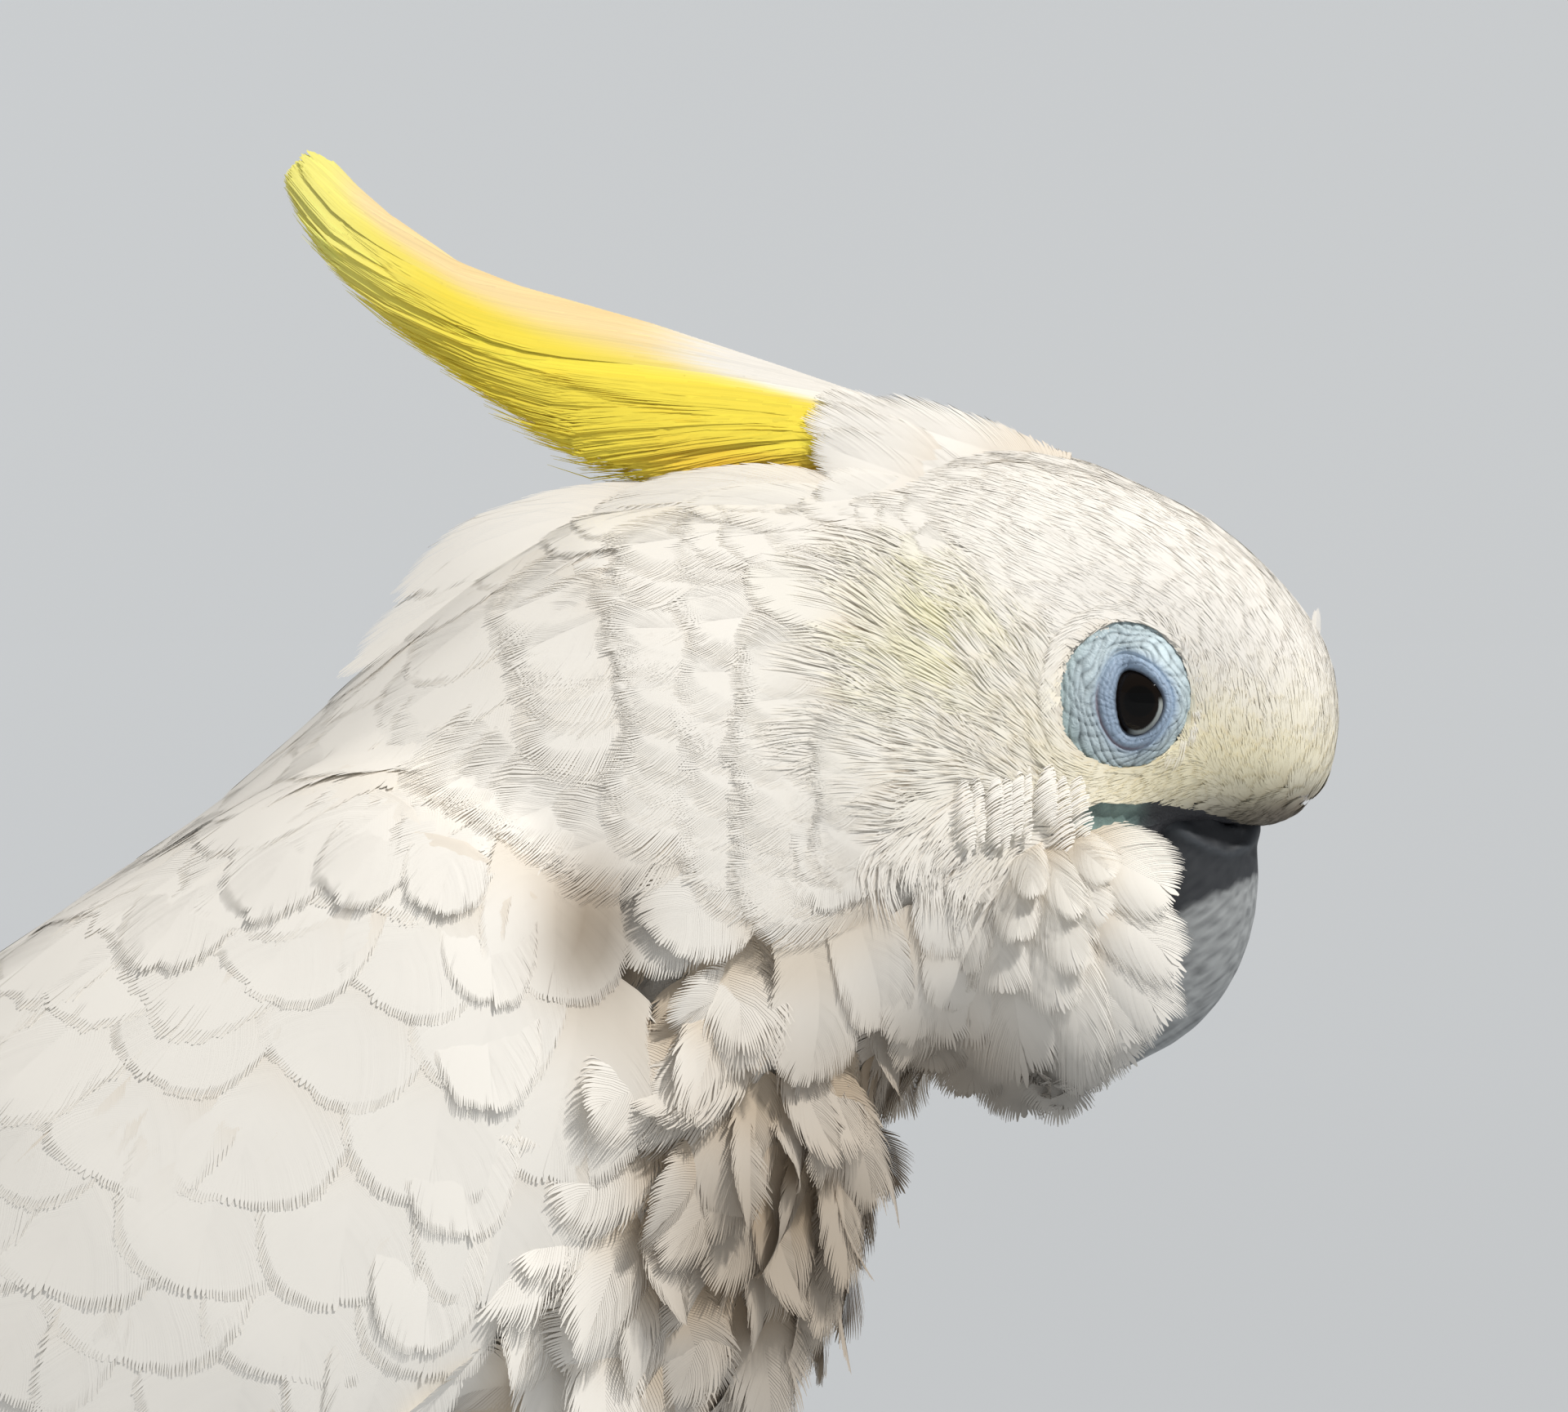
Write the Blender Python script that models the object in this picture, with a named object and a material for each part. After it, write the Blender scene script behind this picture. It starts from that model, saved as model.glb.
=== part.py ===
"""A sulphur-crested cockatoo of the blue-eyed Triton race, life size, as a still model.

The bird stands on the floor with its neck drawn in, its bill tucked down, its
crest laid back and the tip of its tail on the ground. It faces -Y, its left
side is +X, and +Z is up. The origin is the middle of its bounding box, on the
floor.

Shapes are worked out in millimetres in the bird's side view, as (forward, up)
from the centre of the eye, and placed in the world by side_view(). A solid of
flesh reaches out to the tips of its feathers.
"""

import math

import bmesh
import bpy
import numpy as np
from mathutils import Matrix, Vector

MM = 0.001
GAP = 0.3  # between neighbouring pieces

EYE_HEIGHT = 206.0  # above the floor
EYE_TO_MIDDLE = 156.9  # how far the eye is in front of the bounding box's middle
RIGHT, LEFT = -1, 1
SIDES = (("right", RIGHT), ("left", LEFT))

RING_POINTS = 24
BODY_ROUNDNESS = 2.15  # exponent of the body's oval sections

# Driving stations of the body, from the forehead to the rump:
# forward, up, pitch below level (deg), half depth above, half depth below, half width, narrowing upwards
BODY = (
    (29.4, -1.5, 0, 0.0, 0.0, 0.0, 0.00),
    (26.5, -1.5, 0, 11.5, 12.0, 10.5, 0.00),
    (19.5, 0.5, 0, 18.5, 18.5, 15.5, 0.02),
    (9.0, 2.5, 0, 25.3, 21.5, 18.8, 0.04),
    (-1.0, 3.0, 0, 29.5, 25.5, 20.8, 0.06),
    (-12.0, -3.0, 0, 39.5, 38.0, 23.4, 0.10),
    (-26.0, -8.0, 2, 45.5, 43.5, 28.6, 0.12),
    (-42.0, -11.5, 9, 45.5, 47.0, 32.4, 0.10),
    (-60.0, -18.5, 26, 52.0, 55.5, 35.5, 0.04),
    (-78.0, -36.0, 38, 54.5, 60.0, 39.0, 0.00),
    (-98.0, -58.0, 42, 57.0, 64.0, 43.0, 0.00),
    (-128.0, -84.0, 43, 62.0, 62.0, 45.0, 0.00),
    (-160.0, -107.0, 42, 54.0, 51.0, 41.5, 0.00),
    (-190.0, -124.0, 40, 41.0, 38.0, 34.0, 0.00),
    (-216.0, -137.0, 37, 26.0, 24.0, 25.0, 0.00),
    (-236.0, -148.0, 35, 14.0, 13.0, 16.0, 0.00),
    (-244.0, -153.0, 34, 0.0, 0.0, 0.0, 0.00),
)
HEAD_END, NECK_END = 7.45, 9.5  # where the body is parted, in stations

# The sheet that each folded wing lies on: as BODY, but running out over the tail
WING_BED = (
    (-60.0, -18.5, 26, 52.0, 55.5, 35.5, 0.0),
    (-78.0, -36.0, 38, 54.5, 60.0, 39.0, 0.0),
    (-98.0, -58.0, 42, 57.0, 64.0, 43.0, 0.0),
    (-128.0, -84.0, 43, 62.0, 62.0, 45.0, 0.0),
    (-160.0, -107.0, 42, 54.0, 51.0, 41.5, 0.0),
    (-190.0, -124.0, 39, 42.0, 38.0, 34.5, 0.0),
    (-222.0, -138.0, 34, 28.0, 24.0, 26.5, 0.0),
    (-252.0, -152.0, 32, 17.0, 13.0, 20.5, 0.0),
    (-284.0, -171.0, 32, 10.0, 7.0, 16.0, 0.0),
    (-308.0, -186.0, 32, 6.5, 3.0, 10.0, 0.0),
)
# Along the bed, in stations: upper edge and lower edge as shares of the half depths, thickness
WING = (
    (1.00, 0.30, 0.18, 0.8),
    (1.06, 0.50, 0.05, 3.5),
    (1.25, 0.72, -0.06, 6.0),
    (1.50, 0.85, -0.14, 8.0),
    (1.80, 0.91, -0.22, 9.5),
    (2.30, 0.945, -0.36, 10.0),
    (2.85, 0.955, -0.51, 10.0),
    (3.50, 0.965, -0.62, 9.0),
    (4.20, 0.97, -0.72, 7.5),
    (5.00, 0.97, -0.82, 6.0),
    (6.00, 0.97, -0.93, 4.8),
    (7.00, 0.95, -0.95, 4.0),
    (8.00, 0.90, -0.95, 3.2),
    (9.00, 0.30, -0.60, 1.6),
)
WING_STEPS, WING_ROWS = 17, 7
WING_EDGE = 0.8  # thickness at its rim
WING_GAP = 1.6  # from the wing to the flank, which is faceted

# forward, up, half depth, half width along the crest, from its root on the crown
CREST = (
    (-8.0, 30.0, 1.5, 5.0),
    (-22.0, 34.5, 4.5, 8.5),
    (-34.0, 38.0, 6.3, 9.0),
    (-44.0, 40.0, 7.8, 8.5),
    (-60.0, 41.6, 9.6, 7.6),
    (-75.5, 45.2, 10.6, 6.8),
    (-89.0, 51.4, 8.7, 5.8),
    (-99.5, 57.0, 7.0, 5.0),
    (-107.3, 62.2, 6.1, 4.4),
    (-113.8, 68.3, 5.3, 3.8),
    (-118.2, 73.6, 4.4, 3.2),
    (-121.3, 79.0, 2.4, 1.8),
    (-122.0, 81.2, 0.8, 0.8),
)
CREST_STEPS, CREST_POINTS = 18, 12

# The upper half of the bill, from its root to its point: forward, up, heading below level,
# half depth to the ridge, half depth to the cutting edge, half width
UPPER_BILL = (
    (5.0, -9.0, 88, 8.0, 8.0, 8.0),
    (5.2, -18.0, 90, 12.0, 11.0, 10.0),
    (5.2, -26.0, 94, 12.6, 10.6, 9.8),
    (4.2, -33.0, 103, 12.2, 9.4, 8.8),
    (2.2, -39.5, 115, 10.6, 7.4, 7.2),
    (-0.6, -44.8, 128, 7.8, 5.0, 5.2),
    (-3.6, -49.0, 136, 4.8, 3.0, 3.2),
    (-6.0, -53.4, 142, 0.8, 0.8, 0.8),
)
LOWER_BILL = (
    (-17.0, -20.0, 62, 4.5, 4.5, 7.0),
    (-15.0, -27.0, 64, 6.2, 7.0, 8.6),
    (-12.0, -34.0, 58, 5.8, 7.2, 8.4),
    (-8.5, -39.0, 46, 3.4, 5.0, 6.6),
    (-6.2, -41.2, 40, 1.0, 1.6, 4.2),
)
BILL_STEPS, BILL_POINTS = 12, 14
RIDGE_SHARPNESS = 0.30  # how much a bill narrows to its ridge

CHEEK_CENTRE = (-10.5, -36.0)
CHEEK_OUT = 14.5
CHEEK_RADII = (11.5, 18.5, 21.0)  # across, forward, up

EYE_OUT = 16.4
EYE_RADIUS = 6.2
EYE_TURN = 14.0  # how far the eye looks forward, degrees
RING_CENTRE = (-2.5, 1.2)
RING_RADII = (5.0, 12.8, 12.0)  # across, forward, up
RING_OUT = 17.4

TAIL_ROOT, TAIL_LENGTH, TAIL_SLOPE = (-222.0, -131.0), 141.0, 31.8
# share of the length, half width, half thickness
TAIL = (
    (0.00, 14.0, 7.0),
    (0.10, 18.0, 7.5),
    (0.30, 22.5, 6.0),
    (0.60, 28.5, 4.2),
    (0.85, 32.0, 3.0),
    (0.97, 29.0, 2.2),
    (1.00, 21.0, 1.6),
)
TAIL_STEPS, TAIL_POINTS = 12, 16

# forward, up, radius down the feathered leg, and the leg's distance from the middle
THIGH = (
    (-150.0, -110.0, 15.0),
    (-147.0, -128.0, 19.0),
    (-143.0, -146.0, 18.0),
    (-140.0, -162.0, 12.5),
    (-138.0, -172.0, 8.0),
    (-137.5, -176.0, 5.2),
)
LEG_OUT, FOOT_OUT = 23.5, 28.0
ANKLE, FOOT = (-137.0, -177.8), (-127.5, -200.6)
SHANK_RADIUS = 4.3
# name, direction outward from straight ahead (deg), length, radius at the root, claw length
TOES = (
    ("inner_front", -20.0, 28.0, 4.2, 11.0),
    ("outer_front", 14.0, 38.0, 4.5, 13.0),
    ("outer_back", 148.0, 33.0, 4.3, 12.0),
    ("inner_back", -152.0, 20.0, 4.0, 10.0),
)
TOE_TAPER = 0.72  # radius at the tip, as a share of the root's
TOE_SIDES, TOE_KNUCKLES = 7, 3
TOE_SINK = 0.82  # height of a toe's axis, as a share of its radius
CLAW_SIDES, CLAW_STEPS, CLAW_GAP = 6, 5, 0.5


def clear_scene():
    for thing in list(bpy.data.objects):
        bpy.data.objects.remove(thing)


def collection(name):
    made = bpy.data.collections.new(name)
    bpy.context.scene.collection.children.link(made)
    return made


def material(name, colour, roughness=0.6, metallic=0.0):
    made = bpy.data.materials.new(name)
    made.use_nodes = True
    shader = made.node_tree.nodes["Principled BSDF"]
    shader.inputs["Base Color"].default_value = (*colour, 1.0)
    shader.inputs["Roughness"].default_value = roughness
    shader.inputs["Metallic"].default_value = metallic
    return made


def side_view(forward, up, out=0.0):
    """The world place of a point of the side view, out millimetres from the middle plane towards +X."""
    return Vector((out, -EYE_TO_MIDDLE - forward, EYE_HEIGHT + up)) * MM


def spaced(table, count):
    return np.linspace(0, len(table) - 1, count)


def smooth_table(table, at, rounded=()):
    """Rows read from a smooth monotone curve through a table's rows, at the given row numbers.

    The columns in rounded are read through their squares, so that a body that
    starts or ends at nothing has a round end.
    """
    at = np.asarray(at, float)
    rows = np.array(table, float)
    rows[:, list(rounded)] **= 2
    slope = np.diff(rows, axis=0)
    tangent = np.zeros_like(rows)
    inner = slope[:-1] * slope[1:] > 0
    total = slope[:-1] + slope[1:]
    tangent[1:-1] = np.where(inner, 2 * slope[:-1] * slope[1:] / np.where(inner, total, 1), 0)
    tangent[0], tangent[-1] = slope[0], slope[-1]
    i = np.minimum(at.astype(int), len(rows) - 2)
    t = (at - i)[:, None]
    made = (
        rows[i] * (2 * t**3 - 3 * t**2 + 1)
        + tangent[i] * (t**3 - 2 * t**2 + t)
        + rows[i + 1] * (3 * t**2 - 2 * t**3)
        + tangent[i + 1] * (t**3 - t**2)
    )
    made[:, list(rounded)] = np.sqrt(np.maximum(made[:, list(rounded)], 0))
    return made


def power(value, exponent):
    return math.copysign(abs(value) ** exponent, value)


def oval_point(station, angle, grow=0.0, roundness=BODY_ROUNDNESS):
    """A point of a body section. Angle 0 is out to the side and 90 degrees is the bird's back."""
    forward, up, pitch, above, below, half_width, narrowing = station
    across = power(math.cos(angle), 2 / roundness)
    rise = power(math.sin(angle), 2 / roundness)
    depth = (above if rise > 0 else below) + grow
    out = (half_width + grow) * across * (1 - narrowing * rise)
    tilt = math.radians(pitch)
    return side_view(
        forward - math.sin(tilt) * depth * rise,
        up + math.cos(tilt) * depth * rise,
        out,
    )


def body_rings(start, end, grow=0.0):
    """Rings every half station, so that pieces and their cutters share facets."""
    between = [k / 2 for k in range(2 * len(BODY)) if start + 0.05 < k / 2 < end - 0.05]
    rings = []
    for station in smooth_table(BODY, [start, *between, end], rounded=(3, 4, 5)):
        if station[5] + grow < 0.05:
            rings.append([side_view(station[0], station[1])])
            continue
        turns = [2 * math.pi * k / RING_POINTS for k in range(RING_POINTS)]
        rings.append([oval_point(station, turn, grow) for turn in turns])
    return rings


def mesh_object(name, points, faces, paint, where):
    mesh = bpy.data.meshes.new(name)
    mesh.from_pydata([tuple(p) for p in points], [], faces)
    edit = bmesh.new()
    edit.from_mesh(mesh)
    bmesh.ops.recalc_face_normals(edit, faces=edit.faces)
    edit.to_mesh(mesh)
    edit.free()
    mesh.shade_smooth()
    mesh.set_sharp_from_angle(angle=math.radians(50))
    made = bpy.data.objects.new(name, mesh)
    mesh.materials.append(paint)
    where.objects.link(made)
    return made


def loft(name, rings, paint, where):
    """A closed skin over rings of equal length. A ring of one point is a pole, and any other end ring is capped."""
    points, starts, faces = [], [], []
    for ring in rings:
        starts.append(len(points))
        points += ring
    for ring, after, low, high in zip(rings, rings[1:], starts, starts[1:]):
        count = max(len(ring), len(after))
        for k in range(count):
            k2 = (k + 1) % count
            if len(ring) == 1:
                faces.append((low, high + k, high + k2))
            elif len(after) == 1:
                faces.append((low + k, high, low + k2))
            else:
                faces.append((low + k, high + k, high + k2, low + k2))
    for start, ring in ((starts[0], rings[0]), (starts[-1], rings[-1])):
        if len(ring) > 1:
            faces.append(tuple(range(start, start + len(ring))))
    return mesh_object(name, points, faces, paint, where)


def ellipsoid(name, centre, radii, paint, where, turn=0.0, segments=16, rings=8):
    mesh = bpy.data.meshes.new(name)
    edit = bmesh.new()
    shape = Matrix.Rotation(math.radians(turn), 4, "Z") @ Matrix.Diagonal((*(r * MM for r in radii), 1))
    bmesh.ops.create_uvsphere(edit, u_segments=segments, v_segments=rings, radius=1, matrix=shape)
    edit.to_mesh(mesh)
    edit.free()
    mesh.shade_smooth()
    mesh.materials.append(paint)
    made = bpy.data.objects.new(name, mesh)
    made.location = centre
    where.objects.link(made)
    return made


def as_cutter(thing):
    thing.hide_render = True
    thing.display_type = "WIRE"
    return thing


def boolean(target, other, operation="DIFFERENCE"):
    """Cuts other from target, or joins it on, and applies that."""
    bpy.context.view_layer.update()
    modifier = target.modifiers.new(operation.lower(), "BOOLEAN")
    modifier.operation = operation
    modifier.solver = "EXACT"
    modifier.object = other
    graph = bpy.context.evaluated_depsgraph_get()
    mesh = bpy.data.meshes.new_from_object(target.evaluated_get(graph), depsgraph=graph)
    target.modifiers.remove(modifier)
    target.data = mesh
    return target


def remove(thing):
    bpy.data.objects.remove(thing)


def room_around(piece, cutters):
    """A copy of a piece, swollen by the gap, to cut its neighbours back by."""
    room = piece.copy()
    room.data = piece.data.copy()
    room.name = piece.name + "_room"
    for point in room.data.vertices:
        point.co += point.normal * (GAP * 1.2 * MM)
    cutters.objects.link(room)
    return as_cutter(room)


def swept_rings(rows, count, profile, points):
    """Rings along a curve of the side view. A row is forward, up and what profile needs; profile gives (depthwise, out)."""
    rings = []
    for k in range(count):
        before, after = rows[max(k - 1, 0)], rows[min(k + 1, count - 1)]
        along = Vector((after[0] - before[0], after[1] - before[1])).normalized()
        across = Vector((-along.y, along.x))
        ring = []
        for j in range(points):
            depth, out = profile(rows[k], 2 * math.pi * j / points)
            ring.append(side_view(rows[k][0] + across.x * depth, rows[k][1] + across.y * depth, out))
        rings.append(ring)
    return rings


def make_body(paint, parts):
    """Head, neck and trunk: one smooth body, parted by thin cuts square to its line."""
    spans = (("head", 0.0, HEAD_END), ("neck", HEAD_END, NECK_END), ("trunk", NECK_END, len(BODY) - 1.0))
    slit = GAP / 2 / 20  # half a gap, in stations, which lie some 20 mm apart there
    made = {}
    for name, start, end in spans:
        low = start + (slit if start > 0 else 0)
        high = end - (slit if end < len(BODY) - 1 else 0)
        made[name] = loft(name, body_rings(low, high), paint, parts)
    return made


def grown_body(name, cutters, paint):
    """The whole body, a gap larger all round, which other pieces are cut back by."""
    rings = body_rings(0.0, len(BODY) - 1.0, grow=GAP)
    return as_cutter(loft(name, rings, paint, cutters))


def make_eyes(head, paints, parts, cutters):
    """Each eye in its ring of bare skin, both let into the head."""
    for name, side in SIDES:
        eye_at = side_view(0, 0, side * EYE_OUT)
        ring_at = side_view(*RING_CENTRE, side * RING_OUT)
        turn = -side * EYE_TURN
        grown_eye = [EYE_RADIUS + GAP] * 3
        grown_ring = [r + GAP for r in RING_RADII]
        socket = as_cutter(ellipsoid("socket_" + name, eye_at, grown_eye, paints["skin"], cutters))
        seat = as_cutter(ellipsoid("seat_" + name, ring_at, grown_ring, paints["skin"], cutters, turn))
        ring = ellipsoid("eye_ring_" + name, ring_at, RING_RADII, paints["skin"], parts, turn)
        boolean(ring, socket)
        boolean(head, seat)
        boolean(head, socket)
        ellipsoid("eye_" + name, eye_at, [EYE_RADIUS] * 3, paints["eye"], parts, segments=14, rings=8)


def bill_profile(row, angle):
    """A section of the bill, narrow at its ridge, which faces forward."""
    _, _, _, ridge, edge, half_width = row
    rise = math.sin(angle)
    out = half_width * power(math.cos(angle), 0.9) * (1 - RIDGE_SHARPNESS * max(rise, 0))
    return (ridge if rise > 0 else edge) * rise, out


def headed_rings(rows, points):
    """Rings square to each row's own heading, with the ridge on the outer side of the bend."""
    rings = []
    for row in rows:
        heading = math.radians(row[2])
        ring = []
        for j in range(points):
            depth, out = bill_profile(row, 2 * math.pi * j / points)
            ring.append(side_view(row[0] + math.sin(heading) * depth, row[1] + math.cos(heading) * depth, out))
        rings.append(ring)
    return rings


def make_bill(body_cutter, paints, parts, cutters):
    upper_rows = smooth_table(UPPER_BILL, spaced(UPPER_BILL, BILL_STEPS), rounded=(3, 4, 5))
    lower_rows = smooth_table(LOWER_BILL, spaced(LOWER_BILL, BILL_STEPS - 4))
    upper = loft("bill_upper", headed_rings(upper_rows, BILL_POINTS), paints["bill"], parts)
    grown_rows = upper_rows.copy()
    grown_rows[:, 3:6] += GAP
    grown_upper = as_cutter(loft("bill_room", headed_rings(grown_rows, BILL_POINTS), paints["bill"], cutters))
    lower = loft("bill_lower", headed_rings(lower_rows, BILL_POINTS), paints["bill"], parts)
    boolean(upper, body_cutter)
    boolean(lower, body_cutter)
    boolean(lower, grown_upper)
    return grown_upper, lower_rows


def make_cheeks(body_cutter, upper_room, lower_rows, paints, parts, cutters):
    """The fans of feathers that close over the bill from both sides."""
    grown_rows = lower_rows.copy()
    grown_rows[:, 3:6] += GAP
    lower_room = as_cutter(loft("jaw_room", headed_rings(grown_rows, BILL_POINTS), paints["bill"], cutters))
    for name, side in SIDES:
        centre = side_view(*CHEEK_CENTRE, side * CHEEK_OUT)
        cheek = ellipsoid("cheek_" + name, centre, CHEEK_RADII, paints["feather"], parts)
        for cutter in (body_cutter, upper_room, lower_room):
            boolean(cheek, cutter)
        keep_largest(cheek)


def keep_largest(thing):
    """Removes the loose crumbs that a cut can leave."""
    edit = bmesh.new()
    edit.from_mesh(thing.data)
    left, islands = set(edit.verts), []
    while left:
        found, todo = set(), [next(iter(left))]
        while todo:
            point = todo.pop()
            if point not in found:
                found.add(point)
                todo += [edge.other_vert(point) for edge in point.link_edges]
        islands.append(found)
        left -= found
    for island in sorted(islands, key=len)[:-1]:
        bmesh.ops.delete(edit, geom=list(island), context="VERTS")
    edit.to_mesh(thing.data)
    edit.free()


def make_crest(body_cutter, paint, parts):
    """The stack of long plumes, a horn that curls up at its tip."""

    def profile(row, angle):
        return row[2] * power(math.sin(angle), 0.9), row[3] * power(math.cos(angle), 0.9)

    rows = smooth_table(CREST, spaced(CREST, CREST_STEPS))
    crest = loft("crest", swept_rings(rows, CREST_STEPS, profile, CREST_POINTS), paint, parts)
    boolean(crest, body_cutter)
    keep_largest(crest)


def make_wing(name, side, body_cutter, tail_room, paint, parts):
    """A folded wing: a shell on the flank, thickest along its middle, that runs out to a point over the tail."""
    shape = smooth_table(WING, spaced(WING, WING_STEPS))
    outer, inner = [], []
    for at, top, bottom, thickness in shape:
        station = smooth_table(WING_BED, [min(at, len(WING_BED) - 1.001)], rounded=(3, 4, 5))[0]
        first, last = math.asin(bottom), math.asin(top)
        outer_row, inner_row = [], []
        for k in range(WING_ROWS + 1):
            share = k / WING_ROWS
            angle = first + (last - first) * share
            swell = math.sin(math.pi * share) ** 0.6
            lift = WING_EDGE + (thickness - WING_EDGE) * swell
            outer_row.append(oval_point(station, angle, WING_GAP + lift))
            inner_row.append(oval_point(station, angle, WING_GAP))
        outer.append(outer_row)
        inner.append(inner_row)
    flip = Matrix.Diagonal((side, 1, 1))
    rings = [[flip @ p for p in top_row + low_row[::-1]] for top_row, low_row in zip(outer, inner)]
    wing = loft("wing_" + name, rings, paint, parts)
    boolean(wing, body_cutter)
    boolean(wing, tail_room)
    keep_largest(wing)
    return wing


def make_tail(body_cutter, paint, parts):
    slope = math.radians(TAIL_SLOPE)
    rings = []
    for share, half_width, half_thickness in smooth_table(TAIL, spaced(TAIL, TAIL_STEPS), rounded=(1, 2)):
        along = share * TAIL_LENGTH
        forward = TAIL_ROOT[0] - math.cos(slope) * along
        up = TAIL_ROOT[1] - math.sin(slope) * along
        ring = []
        for k in range(TAIL_POINTS):
            angle = 2 * math.pi * k / TAIL_POINTS
            depth = half_thickness * power(math.sin(angle), 0.8)
            out = half_width * power(math.cos(angle), 0.6)
            point = side_view(forward - math.sin(slope) * depth, up + math.cos(slope) * depth, out)
            point.z = max(point.z, 0.0)
            ring.append(point)
        rings.append(ring)
    tail = loft("tail", rings, paint, parts)
    boolean(tail, body_cutter)
    keep_largest(tail)
    return tail


def tube_rings(centres, radii, sides):
    """Round rings square to a path through world points."""
    rings = []
    first = (centres[1] - centres[0]).orthogonal()
    for k, (centre, radius) in enumerate(zip(centres, radii)):
        along = (centres[min(k + 1, len(centres) - 1)] - centres[max(k - 1, 0)]).normalized()
        first = (first - along * first.dot(along)).normalized()
        second = first.cross(along)
        turns = [2 * math.pi * j / sides for j in range(sides)]
        rings.append([centre + (first * math.cos(a) + second * math.sin(a)) * radius for a in turns])
    return rings


def make_leg(name, side, body_cutter, wing, paints, parts, cutters):
    rows = smooth_table(THIGH, spaced(THIGH, 8))
    centres = [side_view(f, u, side * LEG_OUT) for f, u, _ in rows]
    radii = [r * MM for _, _, r in rows]
    thigh = loft("thigh_" + name, tube_rings(centres, radii, 14), paints["feather"], parts)
    boolean(thigh, body_cutter)
    keep_largest(thigh)
    boolean(wing, room_around(thigh, cutters))
    keep_largest(wing)

    top = side_view(*ANKLE, side * LEG_OUT)
    foot = side_view(*FOOT, side * FOOT_OUT)
    shares = [0.0, 0.15, 0.5, 0.85, 1.0]
    swell = [1.25, 1.1, 0.92, 0.98, 1.1]
    path = [top.lerp(foot, s) for s in shares]
    shank_radii = [SHANK_RADIUS * w * MM for w in swell]
    shank = loft("shank_" + name, tube_rings(path, shank_radii, 10), paints["scale"], parts)
    make_foot(name, side, foot, room_around(shank, cutters), paints, parts)


def toe_direction(side, degrees):
    turn = math.radians(degrees)
    return Vector((side * math.sin(turn), -math.cos(turn), 0))


def make_foot(name, side, ankle_end, shank_room, paints, parts):
    """Four toes in one piece, two ahead and two behind, flat underneath, each with its own claw."""
    pad_radius = 5.6 * MM
    middle = Vector((ankle_end.x, ankle_end.y, pad_radius * TOE_SINK))
    foot = ellipsoid("foot_" + name, middle, (7.0, 8.0, 5.8), paints["scale"], parts, segments=12, rings=8)
    bpy.context.view_layer.update()
    foot.data.transform(foot.matrix_world)
    foot.location = (0, 0, 0)
    for toe, degrees, length, radius, claw_length in TOES:
        ahead = toe_direction(side, degrees)
        centres, radii = [], []
        steps = TOE_KNUCKLES * 2
        for k in range(steps + 1):
            share = k / steps
            knuckle = 0.07 * math.cos(2 * math.pi * TOE_KNUCKLES * share)
            thick = radius * MM * (1 - (1 - TOE_TAPER) * share) * (1 + knuckle)
            radii.append(thick)
            centres.append(middle + ahead * (length * MM * share) + Vector((0, 0, thick * TOE_SINK - middle.z)))
        tip = centres[-1] + ahead * radii[-1] * 0.5
        centres.append(tip)
        radii.append(radii[-1] * 0.72)
        piece = loft("toe", tube_rings(centres, radii, TOE_SIDES), paints["scale"], parts)
        boolean(foot, piece, "UNION")
        remove(piece)
        make_claw(name + "_" + toe, tip, ahead, claw_length, radii[-1] * 0.92, paints["claw"], parts)
    for point in foot.data.vertices:
        point.co.z = max(point.co.z, 0.0)
    boolean(foot, shank_room)
    keep_largest(foot)


def make_claw(name, root, ahead, length, radius, paint, parts):
    """A hooked cone that starts just clear of its toe and bends down to just above the floor."""
    start = root + ahead * CLAW_GAP * MM
    centres, radii = [], []
    drop = start.z - radius * 0.12 - GAP * MM
    for k in range(CLAW_STEPS + 1):
        share = k / CLAW_STEPS
        arch = (1 - math.cos(2 * math.pi * share)) * radius * 0.35
        centres.append(start + ahead * (length * MM * share) + Vector((0, 0, arch - drop * share**2.2)))
        radii.append(radius * (1 - 0.88 * share))
    loft("claw_" + name, tube_rings(centres, radii, CLAW_SIDES), paint, parts)


def main():
    clear_scene()
    parts, cutters = collection("cockatoo"), collection("cutters")
    paints = {
        "feather": material("white feather", (0.88, 0.86, 0.82), 0.75),
        "crest": material("yellow feather", (0.90, 0.78, 0.12), 0.7),
        "skin": material("pale blue skin", (0.45, 0.62, 0.74), 0.55),
        "bill": material("dark grey bill", (0.045, 0.047, 0.052), 0.5),
        "eye": material("brown-black eye", (0.012, 0.008, 0.006), 0.08),
        "scale": material("grey leg scales", (0.12, 0.12, 0.125), 0.7),
        "claw": material("dark claw", (0.03, 0.03, 0.033), 0.4),
    }
    body = make_body(paints["feather"], parts)
    body_cutter = grown_body("body_room", cutters, paints["feather"])
    upper_room, lower_rows = make_bill(body_cutter, paints, parts, cutters)
    make_cheeks(body_cutter, upper_room, lower_rows, paints, parts, cutters)
    make_eyes(body["head"], paints, parts, cutters)
    make_crest(body_cutter, paints["crest"], parts)
    tail = make_tail(body_cutter, paints["feather"], parts)
    tail_room = room_around(tail, cutters)
    for name, side in SIDES:
        wing = make_wing(name, side, body_cutter, tail_room, paints["feather"], parts)
        make_leg(name, side, body_cutter, wing, paints, parts, cutters)


main()
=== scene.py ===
"""The look of the cockatoo: skin, feathers, eyes, bill and feet over the CAD frame, with light and camera.

Everything is worked out in millimetres in the bird's own axes: forward, left
and up from the point midway between its eyes. place() turns that into the
frame's axes. The side view is the plane of forward and up.
"""

import math

import bmesh
import bpy
import numpy as np
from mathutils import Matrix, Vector
from mathutils.bvhtree import BVHTree


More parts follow.
